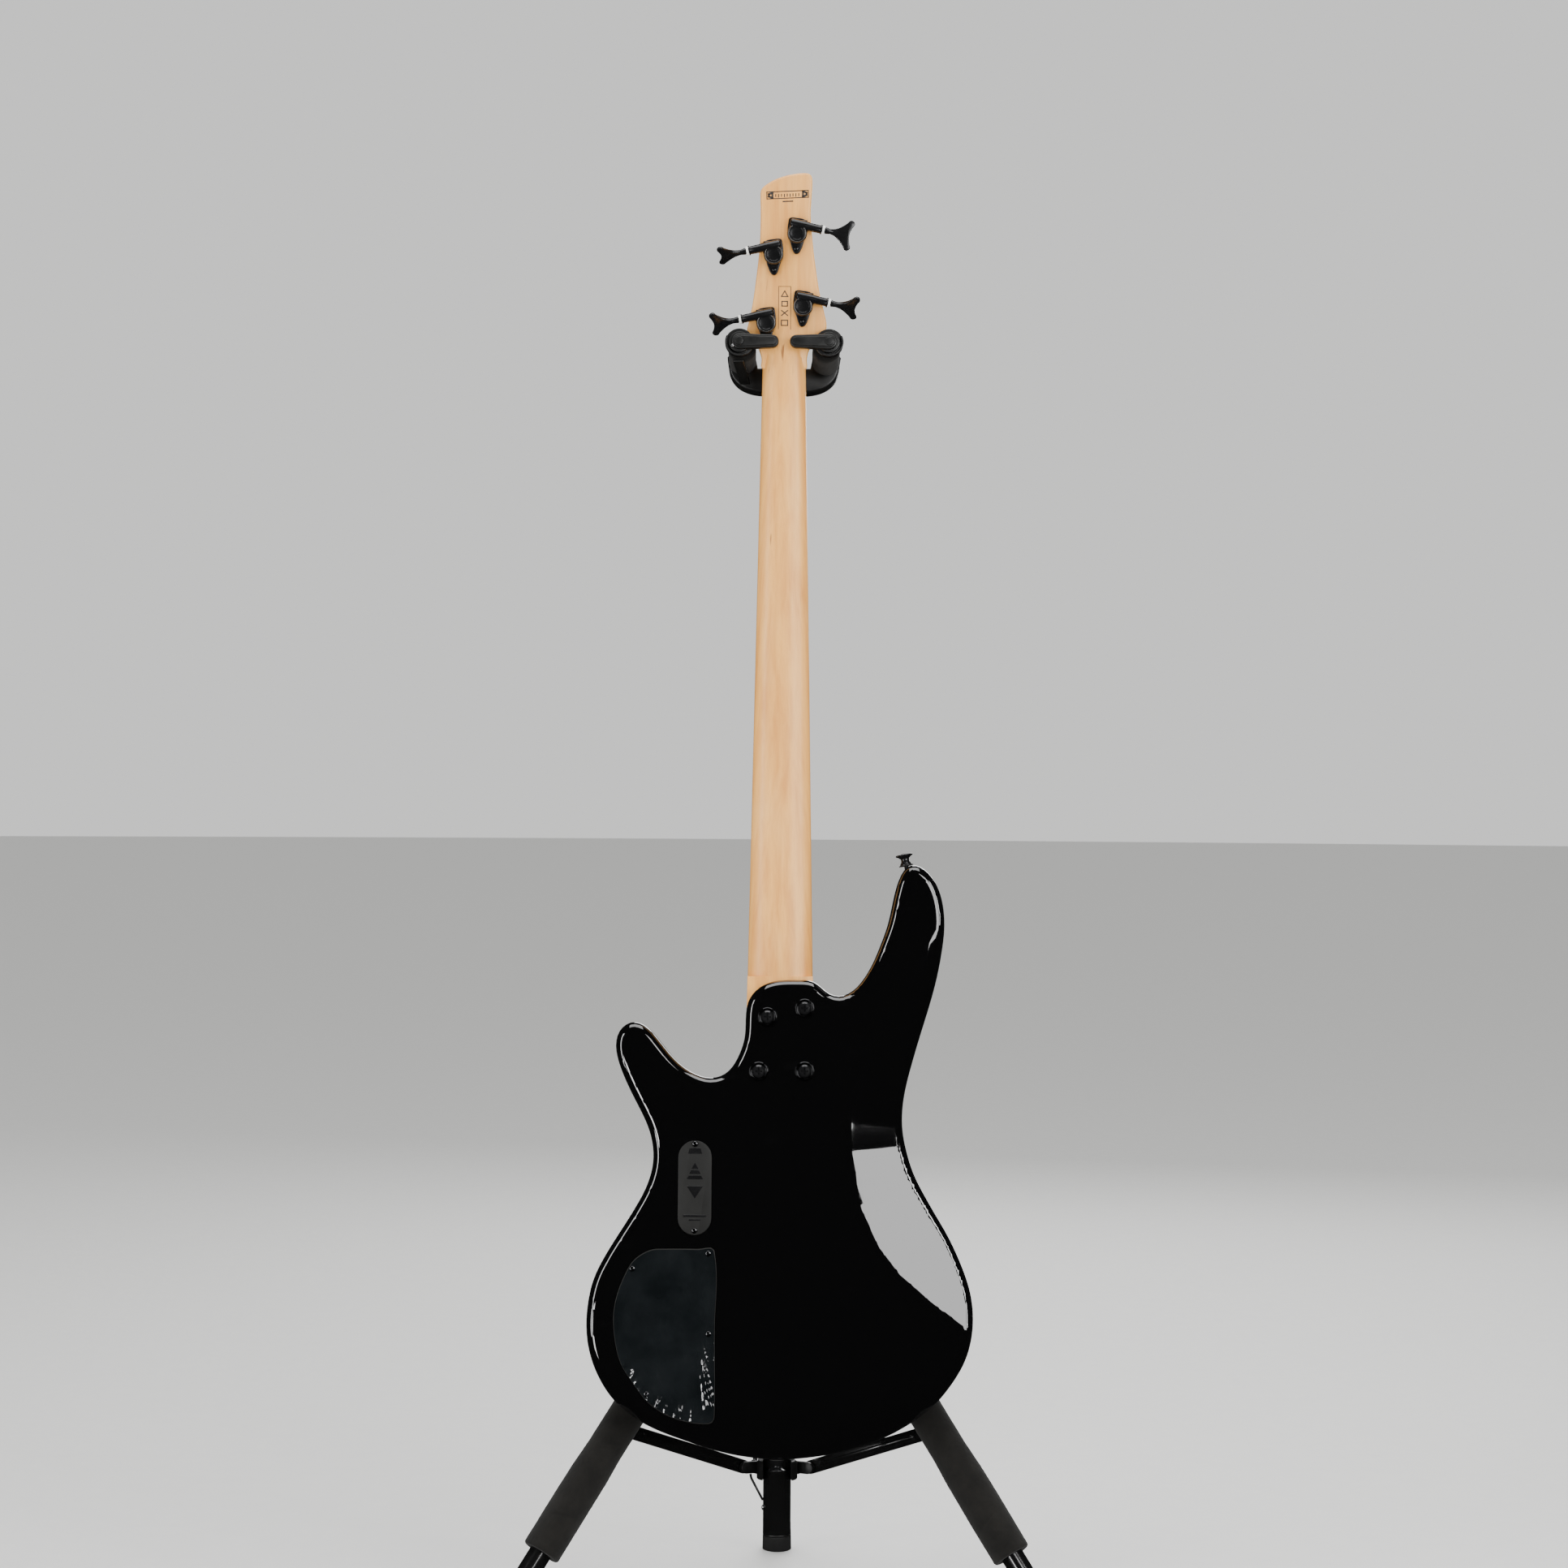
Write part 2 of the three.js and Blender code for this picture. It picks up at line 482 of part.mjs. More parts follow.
// strap buttons: screw shank, waist and flange, made from the body's surface outwards
const BUTTON_PROFILE = [
  [0, -14], [2, -14], [2, 0], [5.4, 0], [5, 1.6], [3.6, 3.4], [3.6, 6], [6, 8], [7.7, 8.8],
  [7.7, 9.8], [5.5, 10.8], [0, 11],
];
const upperButton = along(turned(BUTTON_PROFILE, 12), [111, 22, -461.5], [106, 22, -436.5]);
const lowerButton = along(turned(BUTTON_PROFILE, 12), [0, 22, -979.6], [0, 22, -1000]);
add(guitar, 'strap_button_upper', upperButton, BLACK_METAL);
add(guitar, 'strap_button_lower', lowerButton, BLACK_METAL);

// ---- stand --------------------------------------------------------------------
const mast = new THREE.Group();
mast.position.set(0, MAST_Y, 0);
mast.rotation.x = -deg(MAST_LEAN);
group.add(mast);

const lowerTube = pipe([0, 0, LOWER_BOTTOM], [0, 0, LOWER_TOP], LOWER_RADIUS, UPPER_RADIUS + GAP, 24);
const upperTube = pipe([0, 0, UPPER_BOTTOM], [0, 0, UPPER_TOP], UPPER_RADIUS, UPPER_RADIUS - TUBE_WALL, 24);
add(mast, 'lower_tube', lowerTube, TUBE_METAL);
add(mast, 'upper_tube', upperTube, TUBE_METAL);

// height clutch around the top of the lower tube, with its squeeze lever
function makeClutch() {
  const housing = turned([[0, 0], [17, 0], [18.5, 2], [18.5, 50], [15, 62], [0, 62]], 20);
  const lever = block([-9, 14, 14], [9, 30, 54]);
  const lowerBore = rod([0, 0, -20], [0, 0, 40 + GAP], LOWER_RADIUS + GAP, 24);
  const upperBore = rod([0, 0, -20], [0, 0, 120], UPPER_RADIUS + GAP, 24);
  return cut(join(housing, lever), lowerBore, upperBore).translate(0, 0, LOWER_TOP - 40);
}
add(mast, 'height_clutch', makeClutch(), BLACK_PLASTIC);

// point in the mast's frame at a radius, a direction seen from above and a place along the mast
function mastPoint(radius, azimuth, height, side = 0) {
  const angle = deg(azimuth);
  return [
    radius * Math.cos(angle) - side * Math.sin(angle),
    radius * Math.sin(angle) + side * Math.cos(angle),
    height,
  ];
}

// block that stands out from the mast along an azimuth
function lug(azimuth, from, to, halfWidth, low, high, side = 0) {
  const piece = block([from, side - halfWidth, low], [to, side + halfWidth, high]);
  return piece.rotateZ(deg(azimuth));
}

function makeHub() {
  const ears = Object.values(LEG_AZIMUTHS).flatMap((azimuth) => [-1, 1].map((side) =>
    lug(azimuth, 12, HUB_PIVOT + 8, 2.4, HUB_AT - 9, HUB_AT + 9, side * 9.6)));
  const barrel = turned([[0, 0], [19, 0], [20, 2], [20, 40], [17, 46], [0, 46]], 24);
  barrel.translate(0, 0, HUB_AT - 20);
  const knobBoss = lug(30, 15, 30, 7, HUB_AT - 12, HUB_AT + 4);
  const legRooms = Object.values(LEG_AZIMUTHS).map((azimuth) =>
    lug(azimuth, 15.5, 60, LEG_EYE_HALF + LEG_ROOM, HUB_AT - 40, HUB_AT + 40));
  const bore = rod([0, 0, HUB_AT - 60], [0, 0, HUB_AT + 60], LOWER_RADIUS + GAP, 24);
  return cut(join(barrel, knobBoss, ...ears), bore, ...legRooms);
}
add(mast, 'leg_hub', makeHub(), BLACK_PLASTIC);

function makeCollar() {
  const barrel = turned([[0, 0], [18.4, 0], [18.4, 15], [17, 17], [0, 17]], 24);
  barrel.translate(0, 0, COLLAR_AT - 10);
  const ears = Object.entries(LEG_AZIMUTHS).map(([name, azimuth]) =>
    lug(azimuth, 8, COLLAR_PIVOT + 5, 2.5, COLLAR_AT - 6, COLLAR_AT + 5, STRUT_HAND[name] * LUG_SIDE));
  const bore = rod([0, 0, COLLAR_AT - 40], [0, 0, COLLAR_AT + 40], LOWER_RADIUS + GAP, 24);
  return cut(join(barrel, ...ears), bore);
}
add(mast, 'base_collar', makeCollar(), BLACK_PLASTIC);

// a leg's own frame: x towards the mast, z down the leg from its pivot
const legSin = Math.sin(deg(LEG_ANGLE));
const legCos = Math.cos(deg(LEG_ANGLE));

function legFrame(azimuth) {
  const frame = new THREE.Group();
  frame.position.set(...mastPoint(HUB_PIVOT, azimuth, HUB_AT));
  frame.rotation.z = deg(azimuth);
  const turnDown = new THREE.Group();
  turnDown.rotation.y = Math.PI - deg(LEG_ANGLE);
  frame.add(turnDown);
  mast.add(frame);
  return turnDown;
}

// distance along a leg from its pivot to the floor
function legReach(azimuth) {
  const lean = deg(MAST_LEAN);
  const towardsRear = Math.sin(deg(azimuth));
  const height = HUB_AT * Math.cos(lean) - HUB_PIVOT * towardsRear * Math.sin(lean);
  const drop = legCos * Math.cos(lean) + legSin * towardsRear * Math.sin(lean);
  return height / drop;
}

function makeLeg(length, hand) {
  const tube = rod([0, 0, 30], [0, 0, length - FOOT_CAP], LEG_RADIUS, 20);
  const eye = block([-8, -LEG_EYE_HALF, -8], [8, LEG_EYE_HALF, 40]);
  const [sideLow, sideHigh] = [hand * LUG_ROOT, hand * (LUG_SIDE + 2)].sort((one, other) => one - other);
  const lugPlate = block([0, sideLow, STRUT_ALONG - 6], [STRUT_INSET + 6, sideHigh, STRUT_ALONG + 6]);
  const bore = rod([0, 0, 44], [0, 0, length], LEG_RADIUS - TUBE_WALL, 20);
  return cut(join(tube, eye, lugPlate), bore);
}

function makePad(hand) {
  const bore = LEG_RADIUS + GAP;
  const sleeve = turned([
    [bore, PAD_FROM], [PAD_RADIUS - 3, PAD_FROM], [PAD_RADIUS, PAD_FROM + 4], [PAD_RADIUS, PAD_TO - 2],
    [PAD_RADIUS - 1.4, PAD_TO], [bore, PAD_TO], [bore, PAD_FROM],
  ], 20);
  const [sideLow, sideHigh] = [hand * (LUG_ROOT - GAP), hand * 30].sort((one, other) => one - other);
  const slot = block([-GAP, sideLow, PAD_FROM - 10], [40, sideHigh, STRUT_ALONG + 12]);
  return cut(sleeve, slot);
}

// rubber foot, made about the leg's axis and cut off level with the floor
function makeFoot(length, azimuth) {
  const boot = turned([
    [0, length - 48], [12.6, length - 48], [13.4, length - 44], [14.6, length + 26], [0, length + 26],
  ], 18);
  const socket = rod([0, 0, length - 70], [0, 0, length - FOOT_CAP + GAP], LEG_RADIUS + GAP, 20);
  const floor = new THREE.BoxGeometry(200, 200, 100).translate(0, 0, 50);
  const [across, ahead, up] = [[1, 0, 0], [0, 1, 0], [0, 0, 1]].map((axis) => new THREE.Vector3(...axis));
  const turnAbout = (axis, angle) => new THREE.Quaternion().setFromAxisAngle(axis, angle);
  const legTurn = turnAbout(ahead, Math.PI - deg(LEG_ANGLE));
  const fromLeg = turnAbout(across, -deg(MAST_LEAN)).multiply(turnAbout(up, deg(azimuth))).multiply(legTurn);
  const floorDown = new THREE.Vector3(0, 0, -1).applyQuaternion(fromLeg.invert());
  const turn = new THREE.Quaternion().setFromUnitVectors(up, floorDown);
  floor.applyQuaternion(turn).translate(0, 0, length);
  return cut(boot, socket, floor);
}

// strut from the collar's ear to the leg's lug, in the leg's plane and beside the leg
function makeStrut() {
  const lugR = HUB_PIVOT + STRUT_ALONG * legSin - STRUT_INSET * legCos;
  const lugZ = HUB_AT - STRUT_ALONG * legCos - STRUT_INSET * legSin;
  const length = Math.hypot(lugR - COLLAR_PIVOT, lugZ - COLLAR_AT);
  const rise = Math.atan2(lugZ - COLLAR_AT, lugR - COLLAR_PIVOT);
  const shape = new THREE.Shape();
  shape.absarc(length, 0, STRUT_HALF_WIDTH, -Math.PI / 2, Math.PI / 2);
  shape.absarc(0, 0, STRUT_HALF_WIDTH, Math.PI / 2, 1.5 * Math.PI);
  return slab(shape, -STRUT_THICKNESS / 2, STRUT_THICKNESS / 2).rotateY(-rise);
}

Object.entries(LEG_AZIMUTHS).forEach(([name, azimuth]) => {
  const frame = legFrame(azimuth);
  const length = legReach(azimuth);
  const hand = STRUT_HAND[name];
  add(frame, `leg_${name}`, makeLeg(length, hand), TUBE_METAL);
  add(frame, `foot_${name}`, makeFoot(length, azimuth), RUBBER);
  if (name !== 'rear') {
    add(frame, `leg_pad_${name.replace('front_', '')}`, makePad(hand), FOAM);
  }
  const strut = new THREE.Group();
  strut.position.set(...mastPoint(COLLAR_PIVOT, azimuth, COLLAR_AT, hand * STRUT_SIDE));
  strut.rotation.z = deg(azimuth);
  mast.add(strut);
  add(strut, `strut_${name}`, makeStrut(), TUBE_METAL);
});

// yoke: cross piece on the upper tube with two prongs reaching forward and up
const prong = (side, y) => [side * PRONG_X, y, PRONG_Z - (y - RING_FRONT) * Math.tan(deg(PRONG_RISE))];

function makeYoke() {
  const cross = new THREE.Shape();
  cross.moveTo(-22, 1113.5);
  cross.lineTo(22, 1113.5);
  cross.bezierCurveTo(38, 1115, 47, 1122, 50, 1133);
  cross.lineTo(52, 1148);
  cross.lineTo(26, 1148);
  cross.lineTo(24, 1136);
  cross.lineTo(-24, 1136);
  cross.lineTo(-26, 1148);
  cross.lineTo(-52, 1148);
  cross.lineTo(-50, 1133);
  cross.bezierCurveTo(-47, 1122, -38, 1115, -22, 1113.5);
  const parts = [
    slab(cross, -34, -12, 0, 5),
    rod([0, 0, 1098], [0, 0, 1136], 15.5, 20),
    block([-13, -20, 1114], [13, 2, 1136]),
  ];
  [-1, 1].forEach((side) => {
    parts.push(rod(prong(side, -16), prong(side, RING_BACK - 1), PRONG_RADIUS, 14));
    parts.push(rod([side * GATE_X, RING_BACK, GATE_Z], [side * GATE_X, RING_FRONT, GATE_Z], 13, 20));
  });
  const socket = rod([0, 0, 1080], [0, 0, UPPER_TOP + GAP], UPPER_RADIUS + GAP, 24);
  return cut(join(...parts), socket);
}
add(mast, 'yoke', makeYoke(), BLACK_PLASTIC);

[['left', -1], ['right', 1]].forEach(([name, side]) => {
  const pad = pipe(prong(side, PAD_BACK), prong(side, PAD_FRONT), YOKE_PAD_RADIUS, PRONG_RADIUS + GAP);
  add(mast, `yoke_pad_${name}`, pad, FOAM);
  const finger = new THREE.Shape();
  finger.absarc(0, 0, 9.5, -Math.PI * 0.6, Math.PI * 0.6);
  finger.absarc(-29.6, 0.2, 5.9, Math.PI / 2, Math.PI * 1.5);
  const gate = new THREE.Group();
  gate.position.set(side * GATE_X, 0, GATE_Z);
  gate.scale.x = side;
  mast.add(gate);
  const gateBack = RING_FRONT - GAP;
  add(gate, `gate_${name}`, slab(finger, gateBack - GATE_THICKNESS, gateBack, 0, 5), BLACK_PLASTIC);
});

export default group;
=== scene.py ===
# Bass guitar on its tripod stand: the finished looks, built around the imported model.
# Pieces are drawn in millimetres in the frame of the guitar, its headstock, the mast or a leg,
# and their frames carry them to metres in the model's own frame.
import json
import math

import bmesh
import bpy
from mathutils import Matrix, Vector, geometry, noise


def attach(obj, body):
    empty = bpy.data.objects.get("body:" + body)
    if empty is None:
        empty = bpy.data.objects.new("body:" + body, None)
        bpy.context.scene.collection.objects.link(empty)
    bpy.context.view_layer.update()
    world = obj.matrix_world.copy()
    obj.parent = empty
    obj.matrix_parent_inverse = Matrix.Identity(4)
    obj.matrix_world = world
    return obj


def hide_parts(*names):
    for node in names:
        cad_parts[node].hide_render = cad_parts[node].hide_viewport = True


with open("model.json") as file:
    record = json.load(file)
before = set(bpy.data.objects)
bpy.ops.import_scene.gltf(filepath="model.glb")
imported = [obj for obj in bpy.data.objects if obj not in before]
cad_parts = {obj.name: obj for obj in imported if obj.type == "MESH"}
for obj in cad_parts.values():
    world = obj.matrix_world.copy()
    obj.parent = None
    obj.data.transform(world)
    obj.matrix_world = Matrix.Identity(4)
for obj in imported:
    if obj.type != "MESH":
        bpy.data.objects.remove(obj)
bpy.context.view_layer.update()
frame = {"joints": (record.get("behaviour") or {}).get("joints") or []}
joints = {joint["name"]: joint for joint in frame["joints"]}


def rotation(angle, axis):
    return Matrix.Rotation(math.radians(angle), 4, axis)


def shift(x, y, z):
    return Matrix.Translation((x, y, z))


def frameAlong(jointName, knownJoint, knownPoint):
    # frame whose z follows a joint's axis, put where the known point of another joint says
    up = Vector(joints[jointName]["axis"]).normalized()
    across = Vector((1, 0, 0))
    turn = Matrix((across, up.cross(across), up)).transposed().to_4x4() @ Matrix.Scale(0.001, 4)
    origin = Vector(joints[knownJoint]["pos_m"]) - turn @ Vector(knownPoint)
    return Matrix.Translation(origin) @ turn


guitar = frameAlong("guitar_lift", "knob_1_turn", (-72, 50, -790))
mast = frameAlong("hub_slide", "leg_rear_fold", (0, 27, 368))
headTilt = 9
headFace = 45.2
head = guitar @ shift(0, headFace, 0) @ rotation(headTilt, "X")

camera = {"lens": 72.19, "height": 0.755, "distance": 2.815, "side": 0.0023, "roll": -0.37}
cameraObject = bpy.data.objects.new("camera", bpy.data.cameras.new("camera"))
bpy.context.scene.collection.objects.link(cameraObject)
cameraObject.data.lens = camera["lens"]
cameraObject.data.clip_end = 60
cameraObject.location = (camera["side"], guitar.translation.y - camera["distance"], camera["height"])
cameraObject.rotation_euler = (math.radians(90), math.radians(camera["roll"]), 0)
bpy.context.scene.camera = cameraObject


class Finish:
    # one material: a Principled shader and the patterns that feed it
    def __init__(self, name, color, roughness, metallic=0, **sockets):
        self.material = bpy.data.materials.new(name)
        self.material.use_nodes = True
        self.tree = self.material.node_tree
        self.shader = self.tree.nodes["Principled BSDF"]
        self.shader.inputs["Base Color"].default_value = (*color, 1)
        self.shader.inputs["Roughness"].default_value = roughness
        self.shader.inputs["Metallic"].default_value = metallic
        for socket, value in sockets.items():
            self.shader.inputs[socket.replace("_", " ")].default_value = value

    def node(self, kind, settings=None, **links):
        made = self.tree.nodes.new(kind)
        for key, value in (settings or {}).items():
            if hasattr(made, key):
                setattr(made, key, value)
            else:
                made.inputs[key].default_value = value
        for key, source in links.items():
            self.tree.links.new(source, made.inputs[key])
        return made

    def place(self, scale=(1, 1, 1), rotate=(0, 0, 0), move=(0, 0, 0)):
        # the object's own coordinates, turned, stretched and centred
        coordinates = self.node("ShaderNodeTexCoord")
        mapping = self.node("ShaderNodeMapping", {"vector_type": "POINT"},
                            Vector=coordinates.outputs["Object"])
        mapping.inputs["Scale"].default_value = scale
        mapping.inputs["Rotation"].default_value = [math.radians(angle) for angle in rotate]
        mapping.inputs["Location"].default_value = move
        return mapping.outputs["Vector"]

    def noise(self, vector, scale, detail=4, roughness=0.55, distortion=0.0):
        settings = {"Scale": scale, "Detail": detail, "Roughness": roughness, "Distortion": distortion}
        return self.node("ShaderNodeTexNoise", settings, Vector=vector).outputs["Fac"]

    def between(self, factor, low, high, fromLow=0.0, fromHigh=1.0):
        settings = {"From Min": fromLow, "From Max": fromHigh, "To Min": low, "To Max": high, "clamp": True}
        return self.node("ShaderNodeMapRange", settings, Value=factor).outputs["Result"]

    def math(self, operation, first, second=None):
        made = self.node("ShaderNodeMath", {"operation": operation})
        for index, value in enumerate((first, second)):
            if isinstance(value, (int, float)):
                made.inputs[index].default_value = value
            elif value is not None:
                self.tree.links.new(value, made.inputs[index])
        return made.outputs["Value"]

    def mix(self, factor, first, second, blend="MIX"):
        # first and second are colours, or sockets that give one
        made = self.node("ShaderNodeMix", {"data_type": "RGBA", "blend_type": blend})
        if isinstance(factor, (int, float)):
            made.inputs[0].default_value = factor
        else:
            self.tree.links.new(factor, made.inputs[0])
        for index, value in ((6, first), (7, second)):
            if isinstance(value, tuple):
                made.inputs[index].default_value = (*value, 1)
            else:
                self.tree.links.new(value, made.inputs[index])
        return made.outputs[2]

    def color(self, source):
        self.tree.links.new(source, self.shader.inputs["Base Color"])

    def roughness(self, source):
        self.tree.links.new(source, self.shader.inputs["Roughness"])

    def bump(self, height, strength=0.3, distance=0.0002):
        made = self.node("ShaderNodeBump", {"Strength": strength, "Distance": distance}, Height=height)
        self.tree.links.new(made.outputs["Normal"], self.shader.inputs["Normal"])


def plainFinish(name, color, second, roughness, metallic=0, grain=900, bumpHeight=0.00005, **sockets):
    # moulded or painted surface: two near tones, uneven gloss and a fine skin
    made = Finish(name, color, roughness[0], metallic, **sockets)
    vector = made.place()
    made.color(made.mix(made.noise(vector, 35, 3), color, second))
    made.roughness(made.between(made.noise(vector, 110, 5), roughness[0], roughness[1], 0.3, 0.7))
    made.bump(made.noise(vector, grain, 3), 0.35, bumpHeight)
    return made.material


def mapleFinish():
    # straight-grained maple: fine lines along the neck, brown flecks, and a scarf joint near the nut
    wood = {"light": (0.88, 0.43, 0.10), "deep": (0.66, 0.26, 0.045),
            "fleck": (0.20, 0.06, 0.012), "flame": (0.94, 0.56, 0.20)}
    made = Finish("satinMaple", wood["light"], 0.4, Coat_Weight=0.25, Coat_Roughness=0.25)
    grain = made.place(scale=(1, 1, 0.035))
    ripple = made.place(scale=(1, 1, 0.22))
    fine = made.noise(grain, 900, 5, 0.7)
    bands = made.noise(grain, 130, 4, 0.6, 0.4)
    figure = made.noise(ripple, 60, 3, 0.5, 0.6)
    tone = made.mix(made.between(bands, 0.0, 0.75, 0.38, 0.68), wood["light"], wood["deep"])
    tone = made.mix(made.between(fine, 0.0, 0.35, 0.45, 0.75), tone, wood["deep"])
    tone = made.mix(made.between(figure, 0.0, 0.28, 0.5, 0.75), tone, wood["flame"])
    fleckPlace = made.place(scale=(1, 1, 0.10), move=(0.3, 0.1, 0.05))
    flecks = made.noise(fleckPlace, 230, 2, 0.4, 0.3)
    sparse = made.noise(made.place(scale=(1, 1, 0.5), move=(0.7, 0, 0.2)), 14, 2)
    fleckMask = made.math("MULTIPLY", made.between(flecks, 0, 1, 0.70, 0.78),
                          made.between(sparse, 0, 0.8, 0.47, 0.6))
    tone = made.mix(fleckMask, tone, wood["fleck"])
    made.color(tone)
    made.roughness(made.between(bands, 0.34, 0.5))
    made.bump(made.math("ADD", fine, made.math("MULTIPLY", fleckMask, -0.6)), 0.25, 0.00006)
    return made.material


def darkWoodFinish():
    made = Finish("darkWood", (0.07, 0.032, 0.018), 0.5)
    grain = made.place(scale=(1, 1, 0.05))
    fine = made.noise(grain, 700, 5, 0.7)
    bands = made.noise(grain, 120, 3, 0.5, 0.5)
    tone = made.mix(made.between(bands, 0, 1, 0.35, 0.65), (0.085, 0.042, 0.024), (0.03, 0.014, 0.009))
    pores = made.between(made.noise(made.place(scale=(1, 1, 0.08)), 1600, 2, 0.5), 0, 1, 0.62, 0.7)
    made.color(made.mix(pores, tone, (0.012, 0.006, 0.004)))
    made.roughness(made.between(fine, 0.4, 0.62))
    made.bump(made.math("SUBTRACT", fine, pores), 0.4, 0.0001)
    return made.material


def lacquerFinish():
    # polished black lacquer: a trace of orange peel and a few fine hazy marks
    made = Finish("blackLacquer", (0.0015, 0.0015, 0.0015), 0.045, Coat_Weight=1.0, Coat_Roughness=0.015)
    vector = made.place()
    haze = made.noise(made.place(scale=(1, 1, 3.5), rotate=(0, 25, 0)), 18, 6, 0.7)
    made.roughness(made.between(haze, 0.035, 0.11, 0.55, 0.8))
    made.color(made.mix(made.between(haze, 0, 0.5, 0.62, 0.85), (0.0012, 0.0012, 0.0013),
                        (0.005, 0.005, 0.0055)))
    made.bump(made.noise(vector, 260, 2), 0.05, 0.00002)
    return made.material


def foamFinish():
    made = Finish("foamSkin", (0.01, 0.009, 0.008), 0.9, Specular_IOR_Level=0.12, Sheen_Weight=0.06,
                  Sheen_Roughness=0.6)
    vector = made.place()
    cells = made.node("ShaderNodeTexVoronoi", {"Scale": 2600}, Vector=vector).outputs["Distance"]
    mottle = made.noise(vector, 60, 5)
    made.color(made.mix(made.between(mottle, 0, 1, 0.3, 0.7), (0.004, 0.0037, 0.0031),
                        (0.009, 0.0082, 0.007)))
    made.roughness(made.between(mottle, 0.78, 0.97))
    made.bump(made.math("ADD", cells, made.math("MULTIPLY", mottle, 2.0)), 0.5, 0.00018)
    return made.material


def woundFinish():
    # string steel: the wrap shows as fine rings along the string
    made = Finish("woundSteel", (0.62, 0.60, 0.56), 0.3, 1.0)
    vector = made.place()
    wrap = made.node("ShaderNodeTexWave", {"Scale": 420, "bands_direction": "Z", "Distortion": 0.4},
                     Vector=vector)
    made.color(made.mix(made.noise(vector, 90, 3), (0.66, 0.64, 0.60), (0.46, 0.44, 0.41)))
    made.roughness(made.between(made.noise(vector, 300, 2), 0.22, 0.42))
    made.bump(wrap.outputs["Fac"], 0.6, 0.0001)
    return made.material


def filmFinish():
    # clear protective film on dark plastic: glossy, a little cool, with dull patches
    made = Finish("filmedPlastic", (0.004, 0.005, 0.0055), 0.1, Coat_Weight=0.8, Coat_Roughness=0.03)
    vector = made.place()
    patches = made.noise(vector, 30, 4, 0.6)
    made.color(made.mix(made.between(patches, 0, 1, 0.35, 0.7), (0.003, 0.004, 0.0045),
                        (0.007, 0.0085, 0.0095)))
    made.roughness(made.between(patches, 0.06, 0.16, 0.3, 0.7))
    made.bump(made.noise(vector, 140, 3), 0.06, 0.00006)
    return made.material


finishes = {
    "maple": mapleFinish(),
    "darkWood": darkWoodFinish(),
    "lacquer": lacquerFinish(),
    "foam": foamFinish(),
    "string": woundFinish(),
    "film": filmFinish(),
    "blackMetal": plainFinish("blackMetal", (0.012, 0.012, 0.013), (0.022, 0.022, 0.023),
                              (0.16, 0.30), 0.7, 600, 0.00002, Coat_Weight=0.3, Coat_Roughness=0.1),
    "darkChrome": plainFinish("darkChrome", (0.05, 0.05, 0.052), (0.085, 0.085, 0.088),
                              (0.08, 0.2), 1.0, 500, 0.00001),
    # lighter metal for the tuner cover rims: a painted highlight where light catches their chamfer, not a
    # different metal
    "rimHighlightMetal": plainFinish("rimPaintedHighlight", (0.16, 0.155, 0.145), (0.26, 0.25, 0.24),
                            (0.3, 0.45), 1.0, 500, 0.00001),
    "steel": plainFinish("plainSteel", (0.55, 0.55, 0.56), (0.42, 0.42, 0.43),
                         (0.2, 0.4), 1.0, 700, 0.00002),
    "plastic": plainFinish("texturedPlastic", (0.007, 0.007, 0.0065), (0.012, 0.012, 0.011),
                           (0.42, 0.6), 0, 1500, 0.0001, Specular_IOR_Level=0.3),
    "moulding": plainFinish("standMoulding", (0.004, 0.004, 0.004), (0.008, 0.008, 0.0075),
                            (0.3, 0.46), 0, 1100, 0.00006),
    "tube": plainFinish("glossTube", (0.003, 0.003, 0.003), (0.005, 0.005, 0.005),
                        (0.12, 0.24), 0.1, 500, 0.00002, Coat_Weight=0.7, Coat_Roughness=0.06),
    "rubber": plainFinish("bootRubber", (0.008, 0.008, 0.008), (0.014, 0.0135, 0.013),
                          (0.7, 0.85), 0, 1300, 0.0001),
    "whiteNylon": plainFinish("whiteNylon", (0.80, 0.79, 0.76), (0.70, 0.69, 0.66),
                              (0.35, 0.5), 0, 900, 0.00003),
    "nut": plainFinish("nutComposite", (0.03, 0.03, 0.03), (0.05, 0.05, 0.05),
                       (0.4, 0.55), 0, 1200, 0.00003),
    "ink": plainFinish("printInk", (0.03, 0.025, 0.022), (0.05, 0.04, 0.035), (0.5, 0.65), 0, 900, 0.00001),
}


def circlePoints(radius, count):
    return [(radius * math.cos(2 * math.pi * k / count), radius * math.sin(2 * math.pi * k / count))
            for k in range(count)]


def smoothLoop(points, spacing, rounds=0):
    # closed smooth line through the points, stepped evenly
    count = len(points)
    dense = []
    for index in range(count):
        before, start, end, after = (Vector(points[(index + step) % count]) for step in (-1, 0, 1, 2))
        reach = (end - start).length / 3
        leave = start + (end - before).normalized() * reach
        arrive = end - (after - start).normalized() * reach
        dense += geometry.interpolate_bezier(start, leave, arrive, end, 13)[:-1]
    lengths = [0]
    for first, second in zip(dense, dense[1:] + dense[:1]):
        lengths.append(lengths[-1] + (second - first).length)
    total = round(lengths[-1] / spacing)
    loop = []
    place = 0
    for step in range(total):
        target = lengths[-1] * step / total
        while lengths[place + 1] < target:
            place += 1
        share = (target - lengths[place]) / (lengths[place + 1] - lengths[place])
        loop.append(dense[place].lerp(dense[(place + 1) % len(dense)], share))
    for _ in range(rounds):
        loop = [loop[k] * 0.5 + (loop[k - 1] + loop[(k + 1) % total]) * 0.25 for k in range(total)]
    return loop


def ringOf(bm, points):
    made = [bm.verts.new(point) for point in points]
    return [bm.edges.new((made[k - 1], made[k])) for k in range(len(made))]


